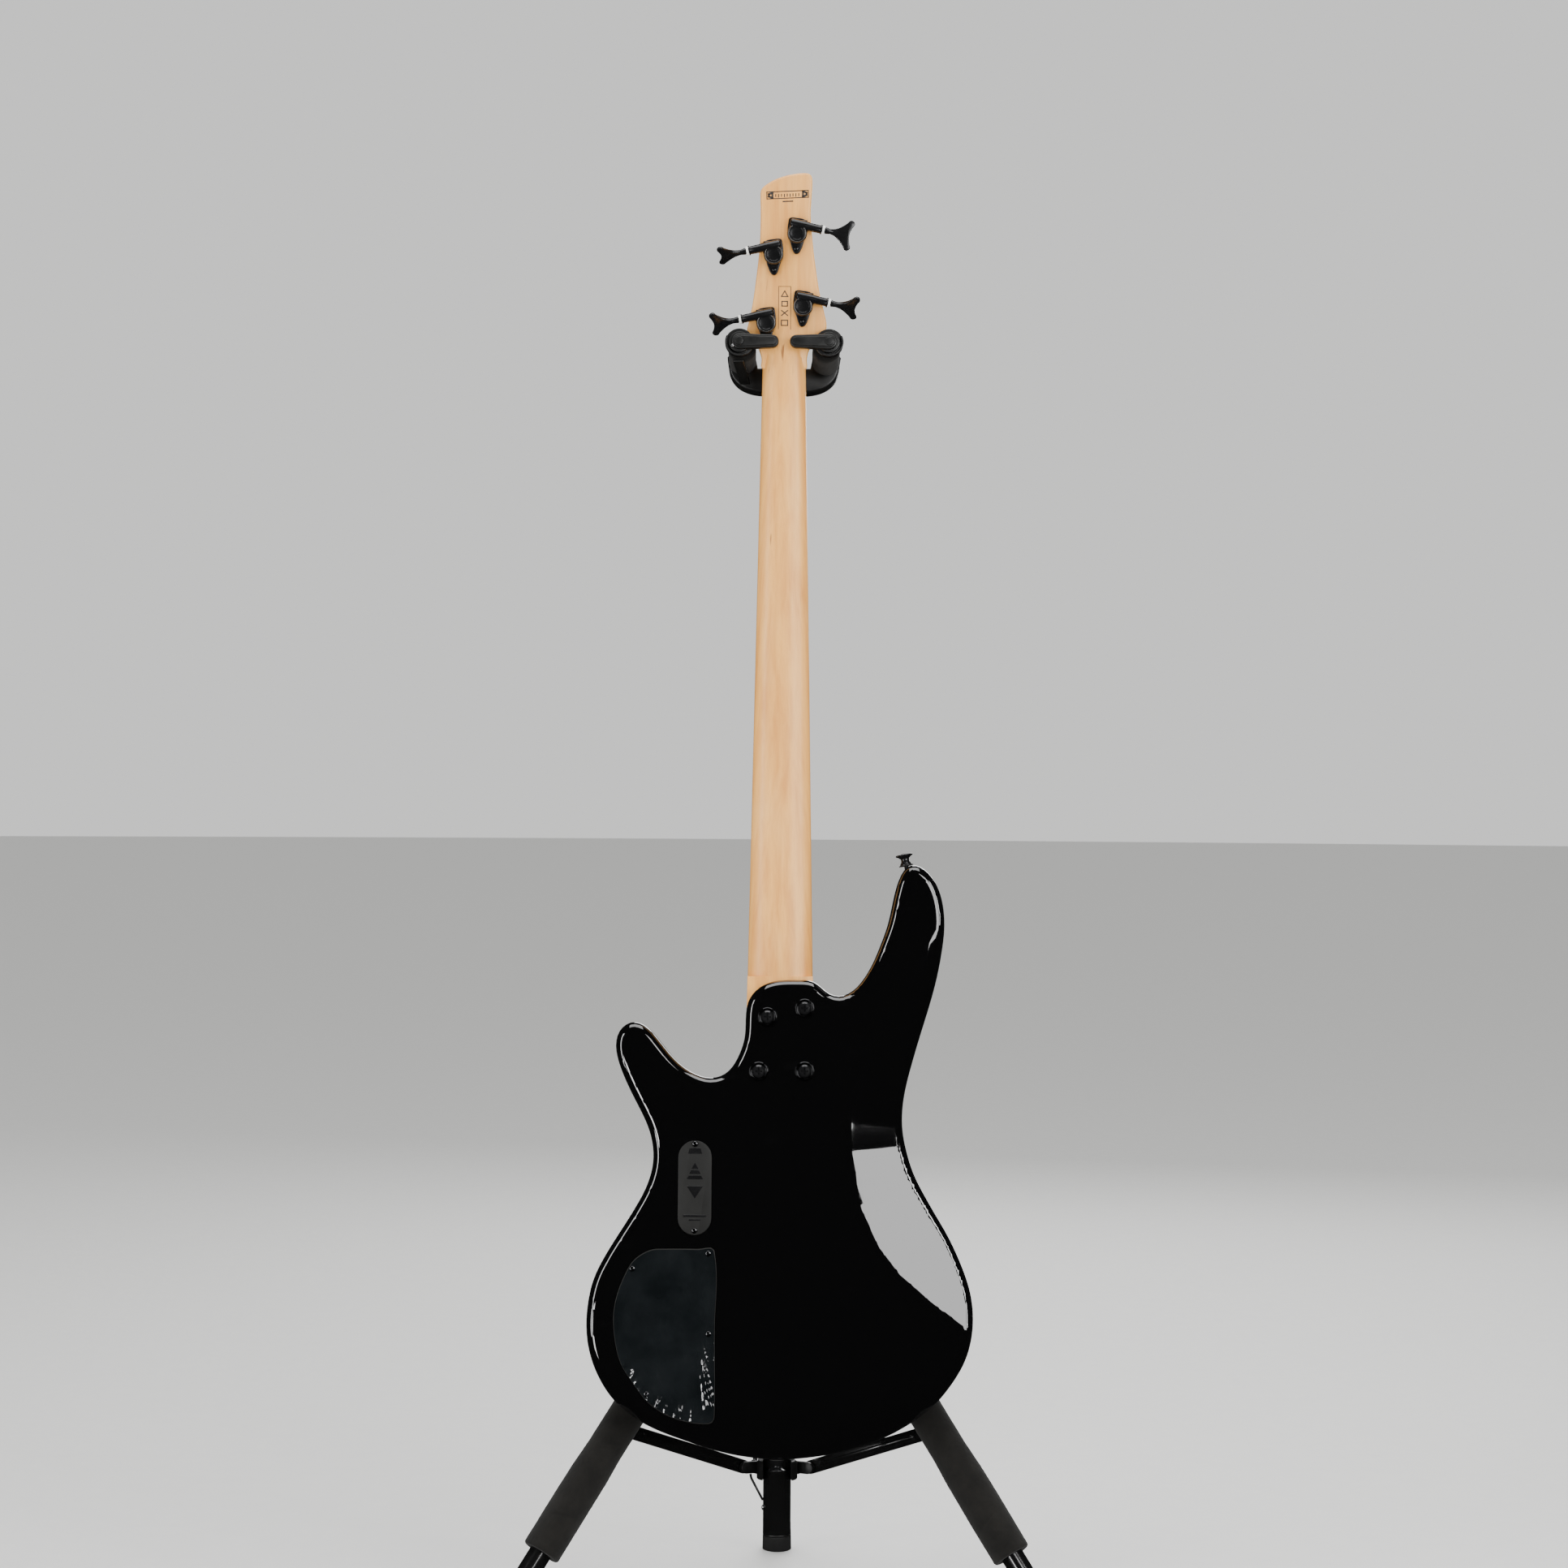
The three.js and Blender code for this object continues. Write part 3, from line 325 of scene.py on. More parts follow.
def slab(points, low, high, edge=0.0, segments=4, sides=("low", "high")):
    # outline of x and distance below the nut, thickened along y, its rims rounded
    bm = bmesh.new()
    face = bm.faces.new([bm.verts.new((x, low, -s)) for x, s in points])
    extruded = bmesh.ops.extrude_face_region(bm, geom=[face])["geom"]
    raised = [item for item in extruded if isinstance(item, bmesh.types.BMVert)]
    bmesh.ops.translate(bm, verts=raised, vec=(0, high - low, 0))
    bmesh.ops.recalc_face_normals(bm, faces=bm.faces)
    if edge:
        levels = [{"low": low, "high": high}[side] for side in sides]
        rims = []
        for level in levels:
            rims += [e for e in bm.edges if all(abs(v.co.y - level) < 0.001 for v in e.verts)]
        bmesh.ops.bevel(bm, geom=rims, offset=edge, segments=segments, profile=0.5, affect="EDGES",
                        material=-1)
    return bm


def block(low, high, edge=0.0, segments=3):
    bm = bmesh.new()
    bmesh.ops.create_cube(bm, size=1)
    size = [b - a for a, b in zip(low, high)]
    middle = [(b + a) / 2 for a, b in zip(low, high)]
    bmesh.ops.scale(bm, verts=bm.verts, vec=size)
    bmesh.ops.translate(bm, verts=bm.verts, vec=middle)
    if edge:
        bmesh.ops.bevel(bm, geom=bm.edges[:], offset=edge, segments=segments, profile=0.5, affect="EDGES",
                        material=-1)
    return bm


def turned(profile, steps=32, edge=0.0, segments=3):
    # solid of revolution about z; pairs of radius and height from axis to axis, or back to the first pair
    bm = bmesh.new()
    points = [bm.verts.new((radius, 0, height)) for radius, height in profile]
    edges = [bm.edges.new(pair) for pair in zip(points, points[1:])]
    bmesh.ops.spin(bm, geom=points + edges, cent=(0, 0, 0), axis=(0, 0, 1), angle=2 * math.pi, steps=steps,
                   use_merge=True)
    bmesh.ops.remove_doubles(bm, verts=bm.verts, dist=0.002)
    bmesh.ops.recalc_face_normals(bm, faces=bm.faces)
    if edge:
        soften(bm, edge, segments)
    return bm


def soften(bm, width, segments=3, limit=32):
    sharp = [e for e in bm.edges if len(e.link_faces) == 2 and e.calc_face_angle(0) > math.radians(limit)]
    bmesh.ops.bevel(bm, geom=sharp, offset=width, segments=segments, profile=0.5, affect="EDGES",
                    material=-1, clamp_overlap=True)


def moved(bm, matrix):
    bmesh.ops.transform(bm, matrix=matrix, verts=bm.verts)
    return bm


def onLine(bm, start, end):
    # a shape made about z from z = 0 upwards, put on the line from start towards end
    direction = Vector(end) - Vector(start)
    return moved(bm, Matrix.Translation(start) @ direction.to_track_quat("Z", "Y").to_matrix().to_4x4())


def rod(start, end, radius, steps=24, edge=0.0):
    length = (Vector(end) - Vector(start)).length
    return onLine(turned([(0, 0), (radius, 0), (radius, length), (0, length)], steps, edge), start, end)


def pipe(start, end, outer, inner, steps=48, edge=0.4):
    length = (Vector(end) - Vector(start)).length
    ring = [(inner, 0), (outer, 0), (outer, length), (inner, length), (inner, 0)]
    return onLine(turned(ring, steps, edge, 2), start, end)


def together(*parts):
    whole = parts[0]
    for part in parts[1:]:
        carrier = bpy.data.meshes.new("carrier")
        part.to_mesh(carrier)
        part.free()
        whole.from_mesh(carrier)
        bpy.data.meshes.remove(carrier)
    return whole


def boolean(base, tool, operation="DIFFERENCE"):
    work = []
    for bm in (base, tool):
        bmesh.ops.recalc_face_normals(bm, faces=bm.faces)
        item = bpy.data.objects.new("work", bpy.data.meshes.new("work"))
        bm.to_mesh(item.data)
        bm.free()
        bpy.context.scene.collection.objects.link(item)
        work.append(item)
    modifier = work[0].modifiers.new("cut", "BOOLEAN")
    modifier.operation = operation
    modifier.object = work[1]
    modifier.solver = "EXACT"
    result = bpy.data.meshes.new_from_object(work[0].evaluated_get(bpy.context.evaluated_depsgraph_get()))
    made = bmesh.new()
    made.from_mesh(result)
    for item in work:
        bpy.data.meshes.remove(item.data)
    bpy.data.meshes.remove(result)
    return made


def tubeThrough(points, radius, sides=8, cyclic=False):
    # round tube along a line of points
    curve = bpy.data.curves.new("route", "CURVE")
    curve.dimensions = "3D"
    curve.bevel_depth = radius
    curve.bevel_resolution = max(sides // 4 - 1, 0)
    curve.use_fill_caps = True
    spline = curve.splines.new("POLY")
    spline.points.add(len(points) - 1)
    for point, place in zip(spline.points, points):
        point.co = (*place, 1)
    spline.use_cyclic_u = cyclic
    route = bpy.data.objects.new("route", curve)
    mesh = bpy.data.meshes.new_from_object(route)
    bm = bmesh.new()
    bm.from_mesh(mesh)
    bpy.data.objects.remove(route)
    bpy.data.curves.remove(curve)
    bpy.data.meshes.remove(mesh)
    bmesh.ops.remove_doubles(bm, verts=bm.verts, dist=0.001)
    return bm


def piece(name, bm, place, finish, body, nodes=(), angle=35):
    # finished object: in its place, smooth, riding on its body
    bmesh.ops.remove_doubles(bm, verts=bm.verts, dist=0.001)
    bmesh.ops.recalc_face_normals(bm, faces=bm.faces)
    bmesh.ops.transform(bm, matrix=place, verts=bm.verts)
    if place.determinant() < 0:
        bmesh.ops.reverse_faces(bm, faces=bm.faces)
    mesh = bpy.data.meshes.new(name)
    bm.to_mesh(mesh)
    bm.free()
    mesh.polygons.foreach_set("use_smooth", [True] * len(mesh.polygons))
    mesh.set_sharp_from_angle(angle=math.radians(angle))
    mesh.materials.append(finishes[finish])
    made = bpy.data.objects.new(name, mesh)
    bpy.context.scene.collection.objects.link(made)
    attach(made, body)
    if nodes:
        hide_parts(*nodes)
    return made


bodySizes = {"back": 0, "front": 40, "edge": 7.5, "grid": 12, "fineGrid": 3, "deepest": 15, "armDeepest": 9,
             "bellySlope": 0.26, "bellySoftness": 1.6, "tailSlope": 0.42, "tailSoftness": 4,
             "armSlope": 0.22, "armSoftness": 6}
bodyOutline = [
    (30, 564.5), (38, 572), (45, 577.5), (53, 578.8), (61, 575.8), (70, 567.7), (81, 550), (89, 531),
    (95.4, 513), (99.4, 494), (103.4, 477.5), (109, 465), (117, 461), (124.5, 464), (132, 470.7),
    (140, 485.4), (143.8, 503), (143.9, 525), (136.5, 567), (118.3, 629), (109.7, 662.7),
    (107.5, 685.4), (109.5, 704.5), (117.8, 732.7), (133, 761), (149.4, 789), (161.8, 817),
    (167.6, 836), (169.6, 854.5), (168.2, 873.4), (163, 892.3), (152.6, 911), (137.5, 930),
    (121.8, 943), (96.6, 958), (71.4, 967.5), (41, 975.3), (0, 979), (-41, 974.5), (-80, 963),
    (-115, 949), (-140.7, 929.8), (-155, 909), (-163.2, 888), (-166.3, 867), (-165.2, 846),
    (-160.6, 825), (-150.3, 804), (-124, 761.6), (-113.5, 740.4), (-109.3, 719), (-113.6, 695),
    (-130.5, 661), (-138, 644.6), (-143.2, 628), (-143.2, 615), (-137.8, 605.3), (-127, 600.6),
    (-116.5, 605.2), (-106.4, 616.5), (-94.7, 631), (-81.5, 642.5), (-65, 650), (-52, 649.4),
    (-42, 642), (-35, 629), (-30.6, 616), (-30, 603), (-29.5, 588.4), (-26.4, 579), (-19.2, 571),
    (-9.8, 566), (1.3, 564), (16, 564),
]
# creases where the flat back breaks away: the belly contour, and the tail
bellyCrease = [(150, 500), (118, 560), (92, 600), (72, 645), (62.8, 686), (63.5, 714), (71.7, 763),
               (88.1, 798), (107.2, 822), (135.4, 846), (163.6, 866), (190, 880)]
tailCrease = [(-190, 880), (-150, 918), (-120, 932), (-80, 942), (-40, 946), (0, 947), (40, 945), (80, 939),
              (118, 928), (150, 905), (190, 880)]
# and where the front breaks away under the player's arm
armCrease = [(-190, 840), (-150, 880), (-100, 905), (-40, 925), (40, 925), (100, 880), (140, 830),
             (190, 760)]


def pastCrease(x, s, crease):
    # how far a point lies past a line of points: positive on the line's left as x and s are drawn
    place = Vector((x, s))
    best = None
    for start, end in zip(crease, crease[1:]):
        a = Vector(start)
        along = Vector(end) - a
        share = min(max((place - a).dot(along) / along.length_squared, 0), 1)
        away = place - (a + along * share)
        if best is None or away.length < best[0]:
            best = (away.length, along.x * away.y - along.y * away.x)
    return math.copysign(best[0], best[1])


def softRamp(distance, softness):
    # zero before the crease and a straight slope past it, with a rounded start
    if distance > 8 * softness:
        return distance
    return softness * math.log1p(math.exp(distance / softness))


def bodyDepth(x, s):
    # how much lower the back lies at a place than its flat part
    belly = softRamp(-pastCrease(x, s, bellyCrease), bodySizes["bellySoftness"]) if x > 30 else 0
    tail = softRamp(pastCrease(x, s, tailCrease), bodySizes["tailSoftness"]) if s > 850 else 0
    return min(max(belly * bodySizes["bellySlope"], tail * bodySizes["tailSlope"]), bodySizes["deepest"])


def frontDepth(x, s):
    arm = softRamp(pastCrease(x, s, armCrease), bodySizes["armSoftness"]) if s > 700 else 0
    return min(arm * bodySizes["armSlope"], bodySizes["armDeepest"])


def bisectGrid(bm, spacing, low, high, inside):
    for axis in (0, 2):
        steps = int((high[axis] - low[axis]) / spacing)
        normal = (1, 0, 0) if axis == 0 else (0, 0, 1)
        for step in range(1, steps):
            level = low[axis] + step * spacing
            faces = [f for f in bm.faces if inside(f.calc_center_median())
                     and min(v.co[axis] for v in f.verts) < level < max(v.co[axis] for v in f.verts)]
            edges = list({e for f in faces for e in f.edges})
            verts = list({v for f in faces for v in f.verts})
            bmesh.ops.bisect_plane(bm, geom=verts + edges + faces, dist=0.01,
                                   plane_co=[level * (k == axis) for k in range(3)], plane_no=normal)


coverOutline = [
    (-55.5, 799), (-54.5, 870), (-54, 941), (-56, 946.5), (-63, 947.9), (-78, 946.2), (-95, 940.8),
    (-112, 929.7), (-125.2, 913.3), (-135.8, 896.8), (-141, 878), (-142.7, 856), (-139.5, 837),
    (-131.3, 816.8), (-124, 806.5), (-111, 799), (-98, 798), (-70, 798),
]
coverMiddle = Vector((-98, 872))
batteryAt = Vector((-73, 745.5))
batterySizes = {"width": 29.4, "length": 81.8, "gap": 0.8, "raised": 0.9}
pickups = {"pickup_neck": 712, "pickup_bridge": 806}
pickupSizes = {"width": 92, "height": 30, "corner": 3.6, "bottom": 26, "top": 50, "screwAt": 41, "gap": 0.8}
neckBolts = [(-10.9, 596.9), (21.7, 589.2), (-18.2, 644.3), (21.9, 644)]
knobPlaces = [(-72, 790), (-98, 812), (-120, 842), (-134, 877)]
jackPlace = (-124, 912)
strapButtons = {"upper": ((111, 22, -461.5), (106, 22, -436.5)), "lower": ((0, 22, -979.6), (0, 22, -1000))}


def neckHalf(s):
    return 19.5 + 0.0168 * s


def stadium(middle, width, length, count=14):
    radius = width / 2
    reach = length / 2 - radius
    half = [(radius * math.cos(math.pi * k / count), radius * math.sin(math.pi * k / count) + reach)
            for k in range(count + 1)]
    upper = [(middle[0] + x, middle[1] - z) for x, z in half]
    return upper + [(middle[0] - x, middle[1] + z) for x, z in half]


def roundedRectangle(middle, width, height, radius, count=6):
    corners = []
    for quarter, (sx, sz) in enumerate(((1, 1), (-1, 1), (-1, -1), (1, -1))):
        for k in range(count + 1):
            angle = math.pi / 2 * (quarter + k / count)
            corners.append((middle[0] + sx * (width / 2 - radius) + radius * math.cos(angle),
                            middle[1] - sz * (height / 2 - radius) - radius * math.sin(angle)))
    return corners


def grown(points, middle, factor):
    return [tuple(middle + (Vector(point) - middle) * factor) for point in points]


def makeBody():
    outline = smoothLoop(bodyOutline, 4.5, 3)
    bm = slab(outline, bodySizes["back"], bodySizes["front"], bodySizes["edge"], 6)
    low, high = (-172, -1, -982), (172, 41, -458)
    bisectGrid(bm, bodySizes["grid"], low, high, lambda middle: True)
    fineLow, fineHigh = (40, -1, -902), (172, 9, -560)
    bisectGrid(bm, bodySizes["fineGrid"], fineLow, fineHigh,
               lambda middle: middle.x > 46 and -905 < middle.z < -560 and middle.y < 5)
    middle = (bodySizes["front"] + bodySizes["back"]) / 2
    for vert in bm.verts:
        x, y, s = vert.co.x, vert.co.y, -vert.co.z
        if y < middle:
            vert.co.y += bodyDepth(x, s) * min(1, (middle + 8 - y) / (middle + 8))
        else:
            vert.co.y -= frontDepth(x, s) * min(1, (y - middle + 8) / (middle + 8))
    pocketHalf = neckHalf(660) + 0.3
    cutters = [block((-pocketHalf, 24.3, -660.3), (pocketHalf, 60, -500)),
               slab(smoothLoop(grown(coverOutline, coverMiddle, 1.008), 5), -5, 2.2),
               slab(stadium(batteryAt, batterySizes["width"] + batterySizes["gap"],
                            batterySizes["length"] + batterySizes["gap"]), -5, 2.2)]
    width, height = (pickupSizes[key] + pickupSizes["gap"] for key in ("width", "height"))
    for s in pickups.values():
        cutters.append(slab(roundedRectangle((0, s), width, height, 4), pickupSizes["bottom"], 60))
    cutters += [rod((x, 30, -s), (x, 60, -s), 4) for x, s in knobPlaces]
    return boolean(bm, together(*cutters))


print("body")
piece("bodyShell", makeBody(), guitar, "lacquer", "guitar", ["body"], angle=40)


def screwHead(x, s, face, radius=3.0, rise=1.1):
    # domed head with a cross recess, seen from the back
    head = turned([(0, 0), (radius, 0), (radius, rise * 0.35), (radius * 0.75, rise * 0.85), (0, rise)], 24)
    arm, half = radius * 0.55, radius * 0.12
    quarter = [(arm, half), (half, half), (half, arm)]
    cross = quarter + [(-x, y) for x, y in reversed(quarter)]
    cross += [(-x, -y) for x, y in cross]
    slot = moved(slab(cross, rise * 0.35, rise * 2), rotation(90, "X"))
    return onLine(boolean(head, slot), (x, face, -s), (x, face - 10, -s))


def makeCovers():
    wells = together(*[rod((batteryAt.x, -3, -s), (batteryAt.x, -0.3, -s), 3.1) for s in (707.7, 783)])
    lid = slab(stadium(batteryAt, batterySizes["width"], batterySizes["length"]), -batterySizes["raised"],
               1.9, 0.7, 3, ["low"])
    battery = boolean(lid, wells)
    piece("batteryCover", battery, guitar, "plastic", "guitar", ["battery_cover"])
    # raised opening marks: a press pad, a pair of arrows and a grip bar
    x = batteryAt.x
    marks = [[(x - 6, 716), (x + 6, 716), (x + 4.6, 711), (x - 4.6, 711)],
             [(x - 5, 772.5), (x + 5, 772.5), (x + 5, 773.7), (x - 5, 773.7)],
             [(x - 7, 744), (x + 7, 744), (x, 754.5)]]
    marks += [[(x - w, s), (x + w, s), (x + w - 1.9, s - 3.2), (x - w + 1.9, s - 3.2)]
              for w, s in ((7, 738), (5, 733.4))]
    marks += [[(x - 2.9, 729), (x + 2.9, 729), (x, 724)],
              [(x - 10, 768.8), (x + 10, 768.8), (x + 10, 770.6), (x - 10, 770.6)]]
    piece("batteryMarks", together(*[slab(mark, -1.15, -0.6, 0.12, 1, ["low"]) for mark in marks]), guitar,
          "blackMetal", "guitar")
    plate = slab(smoothLoop(coverOutline, 4), 0.1, 1.9, 0.6, 3, ["low"])
    piece("controlCover", plate, guitar, "plastic", "guitar", ["control_cover"])
    screws = [(-73.1, 707.7), (-73.1, 782.5)]
    heads = together(*[screwHead(x, s, -0.3, 2.4, 0.9) for x, s in screws])
    piece("batteryScrews", heads, guitar, "darkChrome", "guitar")
    coverScrews = [(-126.6, 815.6), (-60.8, 802.2), (-60, 871.1), (-61.7, 938.9), (-113, 922.8)]
    heads = together(*[screwHead(x, s, 0.2, 2.5, 1.0) for x, s in coverScrews])
    piece("coverScrews", heads, guitar, "darkChrome", "guitar")


filmSizes = {"share": 0.985, "thickness": 0.25, "grid": 1.3, "foldsFrom": 868, "foldBand": 6.5,
             "foldHeight": 3.2, "blisterHeight": 2.2}


def makeFilm():
    # protective film: flat in the middle, crimped in short folds along the lower curved edge
    bm = slab(smoothLoop(grown(coverOutline, coverMiddle, filmSizes["share"]), 2.5),
              -filmSizes["thickness"], 0.0)
    low, high = (-150, -1, -950), (-50, 1, -795)
    bisectGrid(bm, filmSizes["grid"], low, high, lambda middle: middle.y < -0.1)
    loop = smoothLoop(coverOutline, 6)
    for vert in bm.verts:
        if vert.co.y > -0.1:
            continue
        x, s = vert.co.x, -vert.co.z
        rim = min((Vector((x, s)) - point).length for point in loop)
        around = math.atan2(s - 850, x + 75)
        lower = min(max((s - filmSizes["foldsFrom"]) / 26, 0), 1)
        edgeBand = math.exp(-((rim - 5) / filmSizes["foldBand"]) ** 2) * lower
        folds = noise.noise((around * 26, rim * 0.05, 3)) + 0.4 * noise.noise((around * 63, rim * 0.1, 9))
        ridge = max(0.0, folds - 0.04) * edgeBand * filmSizes["foldHeight"]
        blister = max(0.0, noise.noise((x * 0.055, s * 0.055, 5)) - 0.42) * filmSizes["blisterHeight"]
        vert.co.y -= ridge + blister + 0.05 * noise.noise((x * 0.2, s * 0.2, 1))
    piece("coverFilm", bm, guitar, "film", "guitar", angle=60)


def makeNeckBolts():
    ferrule = [(3.5, -0.9), (3.5, 0.55), (6.1, 0.55), (6.6, 1.25), (7.9, 1.25), (8.5, 0.3), (8.5, -0.9),
               (3.5, -0.9)]
    for index, (x, s) in enumerate(neckBolts, 1):
        ring = onLine(turned(ferrule, 40, 0.15, 2), (x, 0, -s), (x, -10, -s))
        piece("boltFerrule%d" % index, ring, guitar, "darkChrome", "guitar")
        dome = screwHead(x, s, -0.5, 5.6, 2.6)
        shank = rod((x, -0.4, -s), (x, 38, -s), 2.4, 16)
        piece("neckBolt%d" % index, together(dome, shank), guitar, "blackMetal", "guitar",
              ["neck_bolt_%d" % index])


makeCovers()
makeFilm()
makeNeckBolts()

print("neck")
neckSizes = {"top": 45.7, "backAtNut": 26, "backAtHeel": 24.6, "shaftEnd": 575,
             "heelStart": 560, "heelEnd": 660,
             "headThickness": 14, "headEdge": 2.2, "scale": 864, "frets": 24}
headOutline = [
    (20.4, -0.5), (21.6, -6), (24, -11.5), (28.5, -17.8), (34, -22.4), (37.4, -25.8),
    (38.3, -31), (36.6, -40), (31.3, -62), (26.4, -94), (24.2, -115), (23.2, -128), (23.6, -140),
    (24.5, -156), (24.2, -162.6), (21.6, -165.6), (12.5, -165.8), (0, -163.5), (-11, -159.4),
    (-19.4, -154), (-22.0, -150.6), (-22.3, -144), (-22, -133), (-22.2, -114.5), (-23.2, -95.3),
    (-28.7, -51), (-32.7, -32), (-34, -25.8), (-32.6, -22.2), (-28.5, -17.8), (-24, -11.5), (-21.6, -6),
    (-20.4, -0.5), (-19.8, 8), (19.8, 8),
]


def neckSection(s, half, back, top, count=12):
    # D-shaped section: flat on top, full round behind
    points = []
    depth = top - back
    for k in range(-count, count + 1):
        angle = math.pi / 2 * k / count
        x = half * math.copysign(abs(math.sin(angle)) ** 0.92, angle)
        y = top - 3 - (depth - 3) * abs(math.cos(angle)) ** 0.72
        points.append((x, y, -s))
    return points + [(half, top, -s), (-half, top, -s)]


def loft(sections):
    bm = bmesh.new()
    rings = [ringOf(bm, section) for section in sections]
    for first, second in zip(rings, rings[1:]):
        bmesh.ops.bridge_loops(bm, edges=first + second)
    for ring in (rings[0], rings[-1]):
        bmesh.ops.holes_fill(bm, edges=ring)
    bmesh.ops.recalc_face_normals(bm, faces=bm.faces)
    return bm


def makeNeck():
    sizes = neckSizes
    sections = []
    for s in (-40, -30, -20, -10, 0, 12, 25, 40, 60, 90, 130, 180, 240, 310, 380, 450, 510, 550,
              sizes["shaftEnd"]):
        share = max(s, 0) / sizes["shaftEnd"]
        back = sizes["backAtNut"] + (sizes["backAtHeel"] - sizes["backAtNut"]) * share
        rising = max(0, -s) / 40
        half = neckHalf(max(s, 0)) - 1.5 * rising
        sections.append(neckSection(s, half, back + 1.5 * rising ** 2, sizes["top"]))
    shaft = loft(sections)
    slope = math.cos(math.radians(headTilt))
    outline = smoothLoop(headOutline, 2.2, 1)
    plate = slab([(x, s / slope) for x, s in outline], -sizes["headThickness"], 0, sizes["headEdge"], 4)
    moved(plate, shift(0, headFace, 0) @ rotation(headTilt, "X"))
    start, end = sizes["heelStart"], sizes["heelEnd"]
    heel = slab([(neckHalf(start), start), (neckHalf(end), end), (-neckHalf(end), end),
                 (-neckHalf(start), start)],
                sizes["backAtHeel"], sizes["top"], 0.8, 2)
    trim = block((-60, sizes["top"], -700), (60, 90, 30))
    whole = boolean(shaft, plate, "UNION")
    whole = boolean(whole, heel, "UNION")
    whole = boolean(whole, trim)
    soften(whole, 0.5, 2, 50)
    return whole


piece("neckWood", makeNeck(), guitar, "maple", "guitar", ["neck"], angle=42)


def strip(fromS, toS, low, high, edge):
    return slab([(neckHalf(fromS), fromS), (neckHalf(toS), toS), (-neckHalf(toS), toS),
                 (-neckHalf(fromS), fromS)],
                low, high, edge, 3, ["high"])


def fretAt(number):
    return neckSizes["scale"] * (1 - 2 ** (-number / 12))


def makeFretboard():
    board = strip(3, 653, 46, 52, 0.9)
    piece("fretboardWood", board, guitar, "darkWood", "guitar", ["fretboard"])
    crown = [(1.4 * math.cos(math.pi * k / 8), 1.15 * math.sin(math.pi * k / 8)) for k in range(9)]
    wires = []
    for number in range(1, neckSizes["frets"] + 1):
        s = fretAt(number)
        half = neckHalf(s) - 0.4
        bm = bmesh.new()
        face = bm.faces.new([bm.verts.new((-half, 51.9 + rise, -s + along)) for along, rise in crown])
        extruded = bmesh.ops.extrude_face_region(bm, geom=[face])["geom"]
        ends = [item for item in extruded if isinstance(item, bmesh.types.BMVert)]
        bmesh.ops.translate(bm, verts=ends, vec=(2 * half, 0, 0))
        wires.append(bm)
    piece("frets", together(*wires), guitar, "steel", "guitar")
    dots = []
    for number in (3, 5, 7, 9, 12, 15, 17, 19, 21, 24):
        s = (fretAt(number) + fretAt(number - 1)) / 2
        offsets = (-8, 8) if number % 12 == 0 else (0,)
        dots += [rod((x, 50, -s), (x, 52.15, -s), 2.6, 24, 0.1) for x in offsets]
        side = neckHalf(s)
        dots.append(rod((side - 1, 49, -s), (side + 0.15, 49, -s), 1.1, 16))
    piece("fretboardDots", together(*dots), guitar, "whiteNylon", "guitar")
    nutBlock = block((-19.4, 46, -2.7), (19.4, 53.6, 1.8), 0.7)
    grooves = [rod(((k - 1.5) * 9.6, 54.4, -6), ((k - 1.5) * 9.6, 54.4, 6), 1.3, 12) for k in range(4)]
    piece("nutBlock", boolean(nutBlock, together(*grooves)), guitar, "nut", "guitar",
          ["nut"])


makeFretboard()
rodCover = slab(smoothLoop([(9, -8), (9.4, -17), (8.6, -27), (4.5, -39), (0, -41), (-4.5, -39), (-8.6, -27),
                            (-9.4, -17), (-9, -8), (0, -7.4)], 1.5), 0.3, 2.5, 0.6, 2, ["high"])
piece("rodCoverPlate", rodCover, head, "plastic", "guitar", ["truss_rod_cover"])


def inkStroke(points, width=0.5, closed=True):
    # thin printed line on the headstock's back
    route = points + points[:1] if closed else points
    strokes = []
    for start, end in zip(route, route[1:]):
        a, b = Vector(start), Vector(end)
        along = (b - a).normalized() * width / 2
        side = Vector((-along.y, along.x))
        corners = [a - along - side, b + along - side, b + along + side, a - along + side]
        strokes.append(slab([(p.x, -p.y) for p in corners], -neckSizes["headThickness"] - 0.05,
                            -neckSizes["headThickness"] + 0.3))
    return strokes


def makePrints():
    # plain printed frames with tick marks: no letters
    strokes = inkStroke([(-16.5, 144.4), (21, 146.2), (20.8, 152.4), (-16.7, 150.6)], 0.9)
    for side in (-1, 1):
        middle = 2.2 + side * 15.2
        base = 148.4 + side * 0.75
        strokes += inkStroke([(middle - side * 1.4, base - 2.3), (middle + side * 1.8, base - 1),
                              (middle + side * 1.8, base + 1), (middle - side * 1.4, base + 2.3)], 1.9)
    for step in range(9):
        x = -8.6 + step * 2.6
        base = 147.9 + x * 0.048
        strokes += inkStroke([(x, base - (0.8 + 0.5 * (step % 2))), (x, base + 0.9)], 0.9, False)
    strokes += inkStroke([(-1.8, 142.2), (6.6, 142.6)], 1.2, False)
    strokes += inkStroke([(-5.4, 27), (5.6, 27), (5.6, 66), (-5.4, 66)], 0.55)
    strokes += inkStroke([(-2.8, 57), (3, 57), (0.1, 62)], 0.95)
    strokes += inkStroke([(-2.4, 48.4), (2.6, 48.4), (2.6, 52.6), (-2.4, 52.6)], 0.95)
    strokes += inkStroke([(-2.6, 40), (2.8, 44.4)], 0.95, False)
    strokes += inkStroke([(-2.6, 44.4), (2.8, 40)], 0.95, False)
    strokes += inkStroke([(-2.8, 31), (2.9, 31), (2.9, 35.6), (-2.8, 35.6)], 0.95)
    piece("headstockPrint", together(*strokes), head, "ink", "guitar")


makePrints()

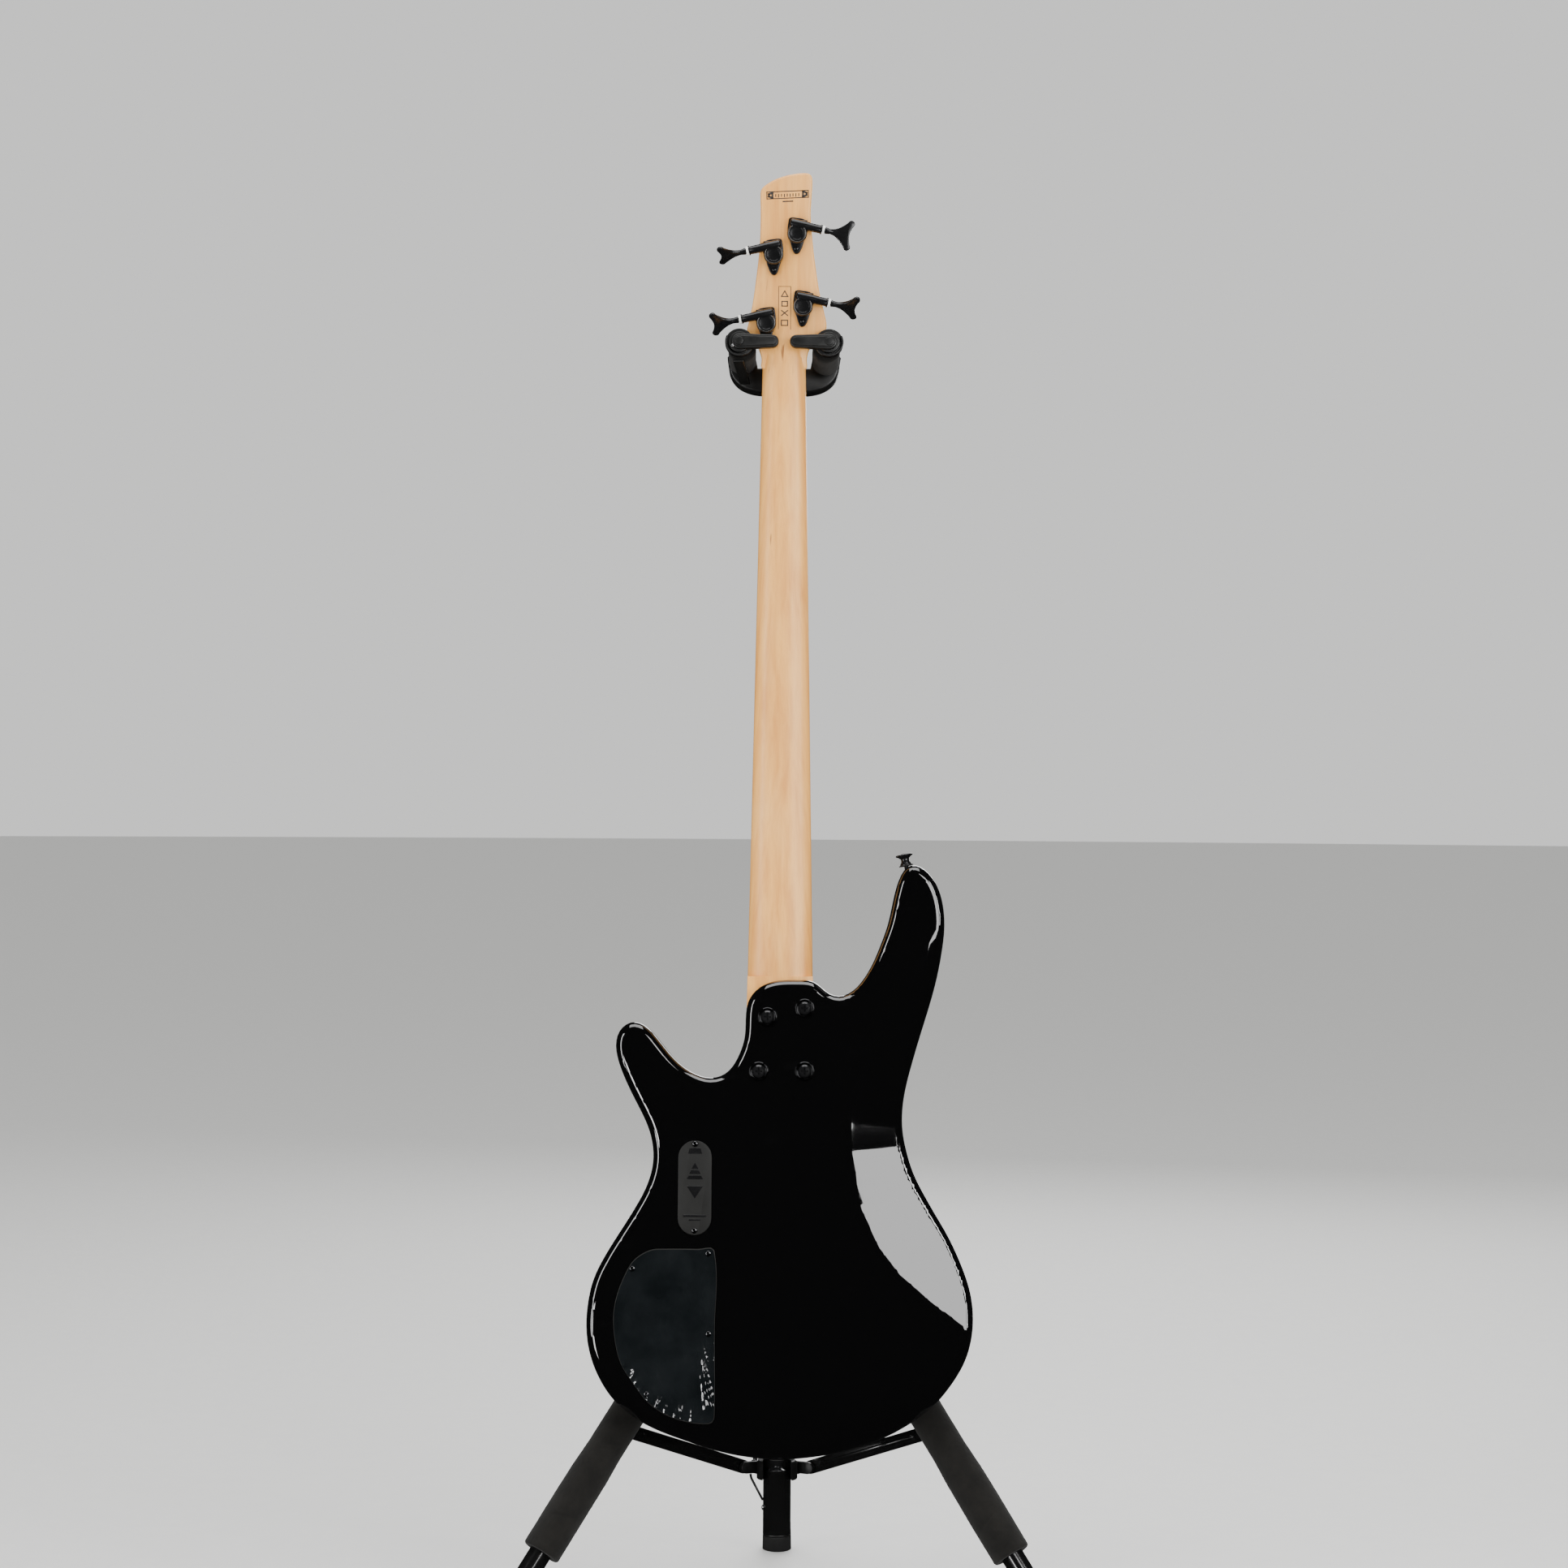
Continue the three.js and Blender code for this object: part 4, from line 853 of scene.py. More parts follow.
print("tuners")
tunerPlaces = [(10.9, 112.8, 1), (-10.1, 93.7, -1), (16.6, 47.5, 1), (-16.4, 32.3, -1)]
keyTurns = (0, 65, 50, 50)
worm = {"above": 8.3, "behind": 6.2, "slope": 12}


def tunerHousing():
    # cast plate and gear cover with a stepped rim, and the tube that holds the worm
    outline = [(-6.6, -14.6), (0, -14.6), (7.6, -12.6), (9.4, -7), (8.6, -1), (6.6, 6), (4.6, 12),
               (2.2, 16.6), (-0.8, 18), (-3.4, 15.8), (-6, 8), (-8.2, 2), (-8.8, -4), (-7.9, -11)]
    plate = slab(smoothLoop(outline, 1.6), -3.4, -0.1, 0.7, 3, ["low"])
    cover = turned([(0, -2), (8.9, -2), (8.9, 4.8), (8.3, 5.6), (8.3, 7.0), (7.2, 7.9), (5.9, 7.9),
                    (5.5, 7.4), (0, 7.4)], 48, 0.18, 2)
    onLine(cover, (0, -2, 0), (0, -20, 0))
    fall = math.tan(math.radians(worm["slope"]))
    start = Vector((-6.2, -worm["behind"], worm["above"] + 6.2 * fall))
    end = Vector((22.6, -worm["behind"], worm["above"] - 22.6 * fall))
    length = (end - start).length
    case = turned([(0, 0), (3.4, 0), (4.4, 1.2), (4.4, length * 0.5), (3.9, length * 0.62),
                   (3.7, length - 1.6), (4.4, length - 1.4), (4.4, length), (0, length)], 36, 0.2, 2)
    onLine(case, start, end)
    saddle = block((-6.4, -worm["behind"], 1), (9.5, -0.6, 12.4), 1.2)
    screw = turned([(0, 0), (1.9, 0), (1.9, 0.5), (1.2, 1.0), (0, 1.1)], 20)
    onLine(screw, (-0.6, -3.3, -13.2), (-0.6, -9, -13.2))
    return together(plate, cover, case, saddle, screw)


def tunerKey(turn):
    # shaft and fishtail wing about z, measured from the point beside the gear
    shaft = turned([(0, 4), (2.2, 4), (2.2, 25.6), (3.1, 26), (2.6, 29), (2.1, 33), (0, 33)], 24, 0.15, 2)
    half = [(2.0, 26.5), (2.3, 31), (3.6, 35.5), (6.6, 40), (10.6, 44.2), (13.6, 46.6), (13.4, 49.4),
            (10.8, 51.2), (7.4, 49.8), (3.6, 48.6), (0, 48.2)]
    outline = [(x, -z) for x, z in half] + [(-x, -z) for x, z in reversed(half[:-1])]
    wing = slab(smoothLoop(outline, 1.6), -1.75, 1.75, 0.8, 3)
    for vert in wing.verts:
        lift = max(0, vert.co.z - 34) / 17
        vert.co.y *= 1 - 0.35 * lift
        vert.co.y += 0.9 * lift * lift * (vert.co.x / 13) ** 2
    return moved(together(shaft, wing), rotation(turn, "Z"))


def makeTuners():
    backFace = -neckSizes["headThickness"]
    for index, (x, height, side) in enumerate(tunerPlaces, 1):
        mirror = Matrix.Diagonal((side, 1, 1, 1))
        place = head @ shift(x, backFace, height) @ mirror
        piece("tunerHousing%d" % index, tunerHousing(), place, "blackMetal", "guitar",
              ["tuner_housing_%d" % index])
        # the cover's rim again as a lighter metal ring: a painted highlight on the black housing's chamfer
        ring = [(8.3, 5.7), (8.75, 5.7), (8.75, 6.9), (7.9, 7.95), (7.5, 7.95), (7.5, 7.2), (8.3, 5.7)]
        rim = onLine(turned(ring, 56, 0.12, 2), (0, -2, 0), (0, -20, 0))
        piece("coverRim%d" % index, rim, place, "rimHighlightMetal", "guitar")
        keyPlace = place @ shift(0, -worm["behind"], worm["above"]) @ rotation(90 + worm["slope"], "Y")
        piece("tunerKey%d" % index, tunerKey(keyTurns[index - 1]), keyPlace, "blackMetal",
              "tuner_key_%d" % index, ["tuner_key_%d" % index])
        washer = turned([(2.4, 23.4), (4.1, 23.4), (4.1, 25.3), (2.4, 25.3), (2.4, 23.4)], 32, 0.2, 2)
        piece("keyWasher%d" % index, washer, keyPlace, "whiteNylon", "tuner_key_%d" % index)
        post = turned([(0, 14), (5.8, 14), (5.8, 22), (7.3, 22.2), (7.3, 23), (6.2, 24.2), (5.5, 26.4),
                       (5.3, 30), (5.6, 33.4), (6.4, 35.2), (6.2, 36.2), (3.2, 36.4), (2.6, 33), (0, 33)],
                      40, 0.2, 2)
        onLine(post, (0, -20.8, 0), (0, 60, 0))
        slot = block((-0.9, 11, -9), (0.9, 30, 9))
        piece("tunerPost%d" % index, boolean(post, slot), head @ shift(x, 0, height), "blackMetal",
              "tuner_post_%d" % index, ["tuner_post_%d" % index])
        bushing = turned([(7.7, 0), (9.4, 0), (9.4, 1.0), (8.4, 1.9), (7.7, 1.9), (7.7, 0)], 40, 0.2, 2)
        onLine(bushing, (0, 0.05, 0), (0, 9, 0))
        piece("postBushing%d" % index, bushing, head @ shift(x, 0, height), "blackMetal", "guitar")


makeTuners()

print("strings and hardware")
stringSizes = {"radii": (0.6, 0.85, 1.05, 1.3), "posts": (3, 1, 0, 2), "nutPitch": 9.6, "saddlePitch": 19,
               "atNut": 54.6, "atSaddle": 58.4, "level": 9.2, "waist": 5.4, "turns": 2.6}
bridgeSizes = {"tail": 894, "half": 41, "length": 48, "base": 43, "tailHeight": 55}
bridgeTail = bridgeSizes["tail"]


def makeString(index):
    # from the tail over the saddle and the nut, then wound down round its post
    radius = stringSizes["radii"][index]
    x, height, side = tunerPlaces[stringSizes["posts"][index]]
    step = index - 1.5
    saddle = Vector((step * stringSizes["saddlePitch"], stringSizes["atSaddle"], -neckSizes["scale"]))
    nutPoint = Vector((step * stringSizes["nutPitch"], stringSizes["atNut"], 0))
    points = [Vector((saddle.x, 50, -bridgeTail + 4.4)),
              saddle.lerp(Vector((saddle.x, 50, -bridgeTail + 4.4)), 0.12)]
    points += [saddle, saddle.lerp(nutPoint, 0.02), nutPoint]
    toHead = shift(0, headFace, 0) @ rotation(headTilt, "X")
    reach = stringSizes["waist"] + radius + 0.25
    steps = int(stringSizes["turns"] * 20)
    for k in range(steps + 1):
        angle = 2 * math.pi * k / 20
        sink = stringSizes["level"] - k / 20 * radius * 2.1
        points.append(toHead @ Vector((x - side * reach * math.cos(angle), sink,
                                       height + reach * math.sin(angle))))
    return tubeThrough(points, radius, 12)


for index in range(4):
    piece("string%d" % (index + 1), makeString(index), guitar, "string", "guitar",
          ["string_%d" % (index + 1)], angle=60)
ballPlaces = [(k - 1.5) * stringSizes["saddlePitch"] for k in range(4)]
ballEnds = [rod((x, 50, -bridgeTail - 0.4), (x, 50, -bridgeTail - 3.4), 2.4, 24, 0.5) for x in ballPlaces]
piece("stringEnds", together(*ballEnds), guitar, "steel", "guitar")


def makeBridge():
    corner = (-bridgeSizes["half"], 40.3, -bridgeTail)
    base = together(block(corner, (bridgeSizes["half"], bridgeSizes["base"],
                                   bridgeSizes["length"] - bridgeTail), 0.8),
                    block(corner, (bridgeSizes["half"], bridgeSizes["tailHeight"], 4 - bridgeTail), 0.9))
    for k in range(5):
        rail = (k - 2) * stringSizes["saddlePitch"]
        low, high = (rail - 0.8, 42.6, 5 - bridgeTail), (rail + 0.8, 45, 44 - bridgeTail)
        base = together(base, block(low, high, 0.3, 2))
    piece("bridgePlate", base, guitar, "blackMetal", "guitar", ["bridge"])
    for k in range(4):
        x = (k - 1.5) * stringSizes["saddlePitch"]
        low, high = (x - 8.6, 45.3, -neckSizes["scale"] - 12), (x + 8.6, 55.6, -neckSizes["scale"] + 8)
        saddle = block(low, high, 1.0)
        groove = together(rod((x, 58.2, -900), (x, 58.2, -850), 3.2, 20),
                          rod((x, 50, -900), (x, 50, -868), 2.2, 20))
        piece("saddle%d" % (k + 1), boolean(saddle, groove), guitar, "blackMetal", "guitar")
        screws = [rod((x - 4.6, 47.8, 4.4 - bridgeTail), (x - 4.6, 47.8, 17 - bridgeTail), 1.4, 16)]
        screws.append(rod((x - 4.6, 47.8, -bridgeTail), (x - 4.6, 47.8, -bridgeTail - 2.0), 3, 24, 0.4))
        for side in (-1, 1):
            at = x + side * 5.6
            low, high = ((at, height, -neckSizes["scale"] + 4) for height in (46, 57.6))
            screws.append(rod(low, high, 1.4, 16, 0.2))
        coils = []
        for turn in range(90):
            coilX = x - 4.6 + 2.2 * math.cos(turn * 0.6)
            coils.append(Vector((coilX, 47.8 + 2.2 * math.sin(turn * 0.6), 4.6 - bridgeTail + turn * 0.14)))
        piece("saddleScrews%d" % (k + 1), together(tubeThrough(coils, 0.35, 8), *screws), guitar, "steel",
              "guitar")
    heads = [onLine(turned([(0, 0), (3.6, 0), (2.8, 1.4), (0, 1.7)], 28), (x, 42.9, 9 - bridgeTail),
                    (x, 60, 9 - bridgeTail)) for x in (-34, 0, 34)]
    piece("bridgeScrews", together(*heads), guitar, "darkChrome", "guitar")


def makePickups():
    sizes = pickupSizes
    places = (-sizes["screwAt"], sizes["screwAt"])
    for name, s in pickups.items():
        ending = name.replace("pickup_", "")
        shell = slab(roundedRectangle((0, s), sizes["width"], sizes["height"], sizes["corner"], 8),
                     sizes["bottom"], sizes["top"], 1.6, 4, ["high"])
        holes = together(*[rod((x, 48.6, -s), (x, 60, -s), 2.2, 20) for x in places])
        piece("pickupShell_" + ending, boolean(shell, holes), guitar, "plastic", "guitar",
              [name])
        screws = [onLine(turned([(0, 0), (1.9, 0), (1.5, 0.8), (0, 1.0)], 20), (x, 48.5, -s), (x, 60, -s))
                  for x in places]
        piece("pickupScrews_" + ending, together(*screws), guitar, "steel", "guitar")


knobSizes = {"columns": 72, "fluteShare": 0.945, "flutesFrom": 12.9, "flutesTo": 24}


def knob():
    # fluted cap with an index groove
    bm = turned([(0, 0), (3.2, 0), (3.2, 9.5), (9.4, 9.5), (9.6, 10), (9.6, 12.5), (8.8, 13), (8.4, 23.4),
                 (7.6, 24.9), (6.4, 25.2), (0, 25.4)], knobSizes["columns"])
    for vert in bm.verts:
        radius = math.hypot(vert.co.x, vert.co.y)
        column = round(math.atan2(vert.co.y, vert.co.x) / (2 * math.pi / knobSizes["columns"]))
        if knobSizes["flutesFrom"] < vert.co.z < knobSizes["flutesTo"] and radius > 7 and column % 2:
            vert.co.x *= knobSizes["fluteShare"]
            vert.co.y *= knobSizes["fluteShare"]
    return boolean(bm, block((2, -0.5, 24.6), (12, 0.5, 30)))


def makeControls():
    for index, (x, s) in enumerate(knobPlaces, 1):
        piece("knobCap%d" % index, onLine(knob(), (x, 31.5, -s), (x, 80, -s)), guitar, "blackMetal",
              "knob_%d" % index, ["knob_%d" % index])
    x, s = jackPlace
    barrel = turned([(4.6, 0), (8.0, 0), (8.0, 8.5), (10.9, 8.5), (10.9, 9.5), (7.6, 9.7), (7.6, 12),
                     (4.6, 12), (4.6, 0)], 40, 0.25, 2)
    hexagon = slab([(px, -pz) for px, pz in circlePoints(9, 6)], 9.5, 11.6, 0.4, 2)
    hexagon = boolean(hexagon, rod((0, 0, 0), (0, 30, 0), 7.4))
    moved(hexagon, shift(x, 32, -s))
    socket = together(onLine(barrel, (x, 32, -s), (x, 80, -s)), hexagon)
    piece("jackSocket", socket, guitar, "blackMetal", "guitar", ["output_jack"])
    for name, (start, end) in strapButtons.items():
        button = turned([(0, -14), (2, -14), (2, 0), (5.4, 0), (5.0, 1.6), (3.7, 3.6), (3.6, 6), (5.6, 7.8),
                         (7.5, 8.6), (7.7, 9.3), (7.2, 9.9), (4.2, 10.1), (3.6, 9.4), (0, 9.3)], 48, 0.25,
                        2)
        screw = turned([(0, 9), (3.1, 9), (2.6, 10.5), (0, 11)], 28)
        button = boolean(button, block((-2, -0.45, 10.4), (2, 0.45, 14)))
        button = together(onLine(button, start, end), onLine(screw, start, end))
        piece("strapButton_" + name, button, guitar, "blackMetal", "guitar",
              ["strap_button_" + name])
        washer = turned([(2.6, -0.3), (6.4, -0.3), (6.4, 0.3), (2.6, 0.3), (2.6, -0.3)], 40)
        piece("strapFelt_" + name, onLine(washer, start, end), guitar, "rubber", "guitar")


makeBridge()
makePickups()
makeControls()
finishedRod = block((-2.8, 36.5, -638), (2.8, 45, -10), 0.8)
piece("trussRod", finishedRod, guitar, "steel", "guitar", ["truss_rod"])
piece("batteryCell", block((-85.8, 4, -770), (-60.2, 21, -721.5), 1.6), guitar, "blackMetal", "guitar",
      ["battery"])

print("stand")
# mast, hub, collar, legs and struts, in the mast's frame or a leg's
mastSizes = {"lower": 12.5, "lowerBore": 10.3, "lowerEnds": (80, 590), "upper": 10, "upperBore": 8.5,
             "upperEnds": (330, 1122), "slide": 12.8, "hub": 368, "collar": 138.5, "clutch": 550}
legSizes = {"angle": 36, "radius": 10, "pivot": 27, "eye": (8, 6.6), "lug": 221, "lugInset": 20.6,
            "lugSide": 15, "footCap": 9}
strutSizes = {"pivot": 24, "side": 20, "length": 122.47, "rise": 18.37, "half": 6.2, "thick": 4}
sleeveSizes = {"outer": 16.4, "bore": 10.3, "low": 204, "high": 354, "dents": 0.55, "wrinkles": 0.2,
               "spread": 1.1, "spreadFrom": 250, "creaseWidth": 1.3}
# each leg: direction seen from above, side of its strut, length from its pivot to the floor
legs = {"front_left": (210, -1, 468.6), "front_right": (330, 1, 468.6), "rear": (90, 1, 429.5)}


def plateTo(root, pivot, radius, half, edge=0.6):
    # plate in the x-z plane, from x = root out to a round end about its pivot at z = 0
    arc = [(pivot + radius * math.sin(math.pi * k / 14), -radius * math.cos(math.pi * k / 14))
           for k in range(15)]
    return slab([(root, -radius)] + arc + [(root, radius)], -half, half, edge, 3)


def dome(radius, rise, steps=32):
    shoulder = [(radius * 0.8, rise * 0.82), (radius * 0.4, rise)]
    return turned([(0, 0), (radius, 0), (radius, rise * 0.4)] + shoulder + [(0, rise)], steps, 0.1, 2)


def makeTubes():
    low, high = mastSizes["lowerEnds"]
    lower = pipe((0, 0, low), (0, 0, high), mastSizes["lower"], mastSizes["lowerBore"], 72, 0.5)
    piece("lowerTube", lower, mast, "tube", "stand_mast", ["lower_tube"])
    rivet = onLine(dome(2.6, 1.5, 28), (0, -12.2, 143.5), (0, -20, 143.5))
    lip = turned([(12.4, 137.6), (12.9, 137.6), (12.9, 139), (12.4, 139.6), (12.4, 137.6)], 72, 0.12, 2)
    piece("tubeLip", together(rivet, lip), mast, "darkChrome", "stand_mast")
    plug = turned([(0, low - 1.6), (8.6, low - 1.6), (9, low - 2.2), (11.4, low - 2.2), (12.4, low - 1.4),
                   (12.4, low - 0.1), (10.2, low - 0.1), (10.2, low + 14), (0, low + 14)], 64, 0.25, 2)
    piece("tubePlug", plug, mast, "moulding", "stand_mast")
    low, high = mastSizes["upperEnds"]
    upper = pipe((0, 0, low), (0, 0, high), mastSizes["upper"], mastSizes["upperBore"], 64, 0.4)
    piece("upperTube", upper, mast, "tube", "upper_mast", ["upper_tube"])


def makeClutch():
    # ribbed housing on the lower tube, with a squeeze lever behind it
    bore, neck = mastSizes["slide"], mastSizes["lowerBore"]
    profile = [(bore, 0), (16.6, 0), (17.6, 0.8), (18.5, 3), (18.5, 8)]
    for height in (9, 12.4, 15.8):
        profile += [(17.7, height), (17.7, height + 1.6), (18.5, height + 2.4)]
    profile += [(18.5, 48), (18, 51), (15, 62), (neck, 62), (neck, 40.3), (bore, 40.3), (bore, 0)]
    housing = turned(profile, 72, 0.35, 2)
    side = [(13, -16), (20, -14), (26.5, -16.5), (29.6, -24), (30, -38), (28.4, -48), (24, -53.6),
            (15, -54), (13, -50)]
    lever = moved(slab(smoothLoop(side, 1.4), -9, 9, 1.6, 4), rotation(90, "Z"))
    grips = together(*[rod((-12, 30.6, height), (12, 30.6, height), 1.3, 20)
                       for height in (25, 29.5, 34, 38.5, 43)])
    pin = rod((-10, 18.5, 21), (10, 18.5, 21), 2.2, 28, 0.5)
    return moved(together(housing, boolean(lever, grips), pin), shift(0, 0, mastSizes["clutch"]))


def makeHub():
    bore, level = mastSizes["slide"], mastSizes["hub"]
    barrel = turned([(bore, -20), (18.4, -20), (19.5, -19.2), (20, -17.5), (20, 17.5), (19.4, 20),
                     (18.2, 23.4), (16.6, 26), (bore, 26), (bore, -20)], 96, 0.4, 2)
    rooms = [moved(block((15.5, -7.1, -40), (60, 7.1, 40)), rotation(azimuth, "Z"))
             for azimuth, hand, length in legs.values()]
    hub = boolean(barrel, together(*rooms))
    for azimuth, hand, length in legs.values():
        for side in (-1, 1):
            ear = together(plateTo(12, legSizes["pivot"], 8.2, 2.4, 0.7),
                           block((14, -2.4, -8.8), (21, 2.4, 8.8), 0.8))
            hub = together(hub, moved(ear, rotation(azimuth, "Z") @ shift(0, side * 9.6, 0)))
    boss = moved(block((15, -7, -12), (30, 7, 4), 2.2, 4), rotation(30, "Z"))
    return moved(together(hub, boss), shift(0, 0, level))


def makeHubBolts():
    bolts = []
    for azimuth, hand, length in legs.values():
        for side in (-1, 1):
            head = onLine(dome(3.6, 1.8), (legSizes["pivot"], side * 12, 0),
                          (legSizes["pivot"], side * 20, 0))
            bolts.append(moved(head, rotation(azimuth, "Z")))
    bolts.append(moved(onLine(dome(3.8, 2), (30, 0, -4), (40, 0, -4)), rotation(30, "Z")))
    return moved(together(*bolts), shift(0, 0, mastSizes["hub"]))


def makeCollar():
    bore = mastSizes["slide"]
    collar = turned([(bore, -10), (17.4, -10), (18.4, -9), (18.4, 4.6), (17.9, 5.6), (16.8, 7), (bore, 7),
                     (bore, -10)], 96, 0.4, 2)
    opening = block((-12.9, -40, -30), (12.9, -4, 30))
    collar = boolean(collar, opening)
    for azimuth, hand, length in legs.values():
        ear = together(plateTo(8, strutSizes["pivot"], 5.3, 2.5, 0.6),
                       block((8, -2.5, -6), (15, 2.5, 5), 0.6))
        collar = together(collar, moved(ear, rotation(azimuth, "Z") @ shift(0, hand * legSizes["lugSide"],
                                                                            -0.3)))
    return moved(collar, shift(0, 0, mastSizes["collar"]))


def makeWireStay():
    # thin rod from the collar's side down to a small screw in the tube
    return together(rod((-23, -2, 129), (-12.6, -3, 110), 1.1, 20, 0.2),
                    rod((-24, -2, 133), (-23, -2, 128.6), 1.1, 20))


def legPlace(azimuth):
    angle = math.radians(azimuth)
    reach = legSizes["pivot"]
    pivot = shift(reach * math.cos(angle), reach * math.sin(angle), mastSizes["hub"])
    return mast @ pivot @ rotation(azimuth, "Z") @ rotation(180 - legSizes["angle"], "Y")


def tubeSection(z, halfX, halfY, power, count=48):
    # ring between a rounded rectangle and a circle
    ring = []
    for k in range(count):
        angle = 2 * math.pi * k / count
        along, across = math.cos(angle), math.sin(angle)
        ring.append((halfX * math.copysign(abs(along) ** (2 / power), along),
                     halfY * math.copysign(abs(across) ** (2 / power), across), z))
    return ring


def makeLeg(hand, length):
    # round tube pressed flat at its top, with the pivot eye and the strut's lug
    radius, (eyeX, eyeY) = legSizes["radius"], legSizes["eye"]
    end = length - legSizes["footCap"]
    sections = [tubeSection(14, eyeX - 0.4, eyeY - 0.3, 6), tubeSection(24, eyeX - 0.2, eyeY - 0.1, 5),
                tubeSection(32, eyeX + 0.6, eyeY + 1.2, 3.4),
                tubeSection(38, radius - 0.7, radius - 1.2, 2.4)]
    sections += [tubeSection(z, radius, radius, 2) for z in (44, 120, 215, 300, end)]
    eye = moved(plateTo(-26, 0, eyeX, eyeY, 1.2), rotation(90, "Y"))
    lug = moved(plateTo(2, legSizes["lugInset"], 5.8, 5.5, 0.7), shift(0, hand * 11.5, legSizes["lug"]))
    return together(loft(sections), eye, lug)


def makeSleeve(hand, seed):
    # foam tube with rolled ends, a little dented, and creased where it is handled
    low, high, outer, bore = (sleeveSizes[key] for key in ("low", "high", "outer", "bore"))
    heights = [low + 2.2 + (high - low - 4.4) * k / 120 for k in range(121)]
    profile = [(bore, low), (outer - 2.6, low), (outer - 1.1, low + 0.5), (outer - 0.2, low + 1.4)]
    profile += [(outer, height) for height in heights]
    profile += [(outer - 0.3, high - 1), (outer - 1.4, high), (bore, high), (bore, low)]
    sleeve = turned(profile, 128)
    facing = -hand * 115
    creases = [(low + 46, facing - 8, 40, 0.75, 0.16), (low + 64, facing + 20, 26, 0.5, -0.2),
               (high - 34, facing + 4, 44, 0.7, 0.1), (high - 22, facing - 20, 30, 0.45, -0.12)]
    for vert in sleeve.verts:
        x, y, z = vert.co
        reach = math.hypot(x, y)
        if reach < outer - 3:
            continue
        spread = sleeveSizes["spread"] * min(max((z - sleeveSizes["spreadFrom"]) / 25, 0), 1)
        slow = noise.noise(Vector((x * 0.05 + seed, y * 0.05, z * 0.022)))
        fine = noise.noise(Vector((x * 0.22, y * 0.22 + seed, z * 0.5)))
        inward = sleeveSizes["dents"] * (0.5 - slow) + sleeveSizes["wrinkles"] * abs(fine) * 2 - spread
        for level, middle, span, depth, slant in creases:
            turn = (math.degrees(math.atan2(y, x)) - middle + 180) % 360 - 180
            if abs(turn) < span:
                away = (z - level - slant * turn) / sleeveSizes["creaseWidth"]
                inward += depth * math.cos(turn / span * math.pi / 2) * math.exp(-away ** 2)
        vert.co.x -= x / reach * inward
        vert.co.y -= y / reach * inward
    low, high = sorted((hand * 5.7, hand * 30))
    return boolean(sleeve, block((-0.3, low, 190), (40, high, 233)))


def makeBoot(place, length):
    # rubber boot with rings, cut level with the floor
    top = length - 48
    profile = [(legSizes["radius"] + 0.3, top), (11.8, top), (12.6, top + 1)]
    profile += [(13.2, top + 4), (13.4, top + 10)]
    for height in (top + 12, top + 16, top + 20):
        profile += [(12.8, height), (12.8, height + 1.4), (13.7, height + 2.2)]
    profile += [(14.0, top + 34), (14.6, top + 74), (0, top + 74)]
    profile += [(0, length - 8.7), (10.3, length - 8.7), (10.3, top)]
    boot = turned(profile, 64, 0.2, 2)
    toLeg = place.inverted()
    floorNormal = (toLeg.to_3x3() @ Vector((0, 0, -1))).normalized()
    whole = boot.verts[:] + boot.edges[:] + boot.faces[:]
    bmesh.ops.bisect_plane(boot, geom=whole, dist=0.0001, plane_co=toLeg.translation, plane_no=floorNormal,
                           clear_outer=True)
    bmesh.ops.holes_fill(boot, edges=[edge for edge in boot.edges if edge.is_boundary])
    return boot


def makeStrut():
    # flat bar with round ends and a pressed rib along it
    def bar(start, end, half, thick, edge):
        arc = [(half * math.sin(math.pi * k / 12), half * math.cos(math.pi * k / 12)) for k in range(13)]
        outline = [(end + x, -s) for x, s in arc] + [(start - x, s) for x, s in arc]
        return slab(outline, -thick / 2, thick / 2, edge, 3)

    length = strutSizes["length"]
    return together(bar(0, length, strutSizes["half"], strutSizes["thick"], 0.7),
                    bar(16, length - 16, 2.4, 5.2, 0.9))


makeTubes()
piece("heightClutch", makeClutch(), mast, "moulding", "stand_mast", ["height_clutch"])
piece("legHub", makeHub(), mast, "moulding", "leg_hub", ["leg_hub"])
piece("hubBolts", makeHubBolts(), mast, "blackMetal", "leg_hub")
piece("baseCollar", makeCollar(), mast, "moulding", "stand_mast", ["base_collar"])
piece("wireStay", makeWireStay(), mast, "blackMetal", "stand_mast")
sideScrew = onLine(dome(2.4, 1.6, 28), (-12.2, -3, 103.5), (-20, -4, 103.5))
piece("sideScrew", sideScrew, mast, "steel", "stand_mast")
for name, (azimuth, hand, length) in legs.items():
    place = legPlace(azimuth)
    leg = "leg_" + name
    piece(leg + "_tube", makeLeg(hand, length), place, "tube", leg, [leg])
    piece(leg + "_boot", makeBoot(place, length), place, "rubber", leg, ["foot_" + name])
    if name != "rear":
        side = name.replace("front_", "")
        sleeve = piece("sleeve_" + side, makeSleeve(hand, 3.7 + hand), place, "foam", leg,
                       ["leg_pad_" + side])
    angle = math.radians(azimuth)
    reach, side = strutSizes["pivot"], hand * strutSizes["side"]
    pivot = shift(reach * math.cos(angle) - side * math.sin(angle),
                  reach * math.sin(angle) + side * math.cos(angle),
                  mastSizes["collar"])
    strutPlace = mast @ pivot @ rotation(azimuth, "Z") @ rotation(-strutSizes["rise"], "Y")
    strut = "strut_" + name
    piece(strut + "_bar", makeStrut(), strutPlace, "tube", strut, [strut])
    rivets = [onLine(dome(3.7, 1.7), (x, hand * 2, 0), (x, hand * 9, 0)) for x in (0, strutSizes["length"])]
    piece(strut + "_rivets", together(*rivets), strutPlace, "darkChrome", strut)

print("yoke")
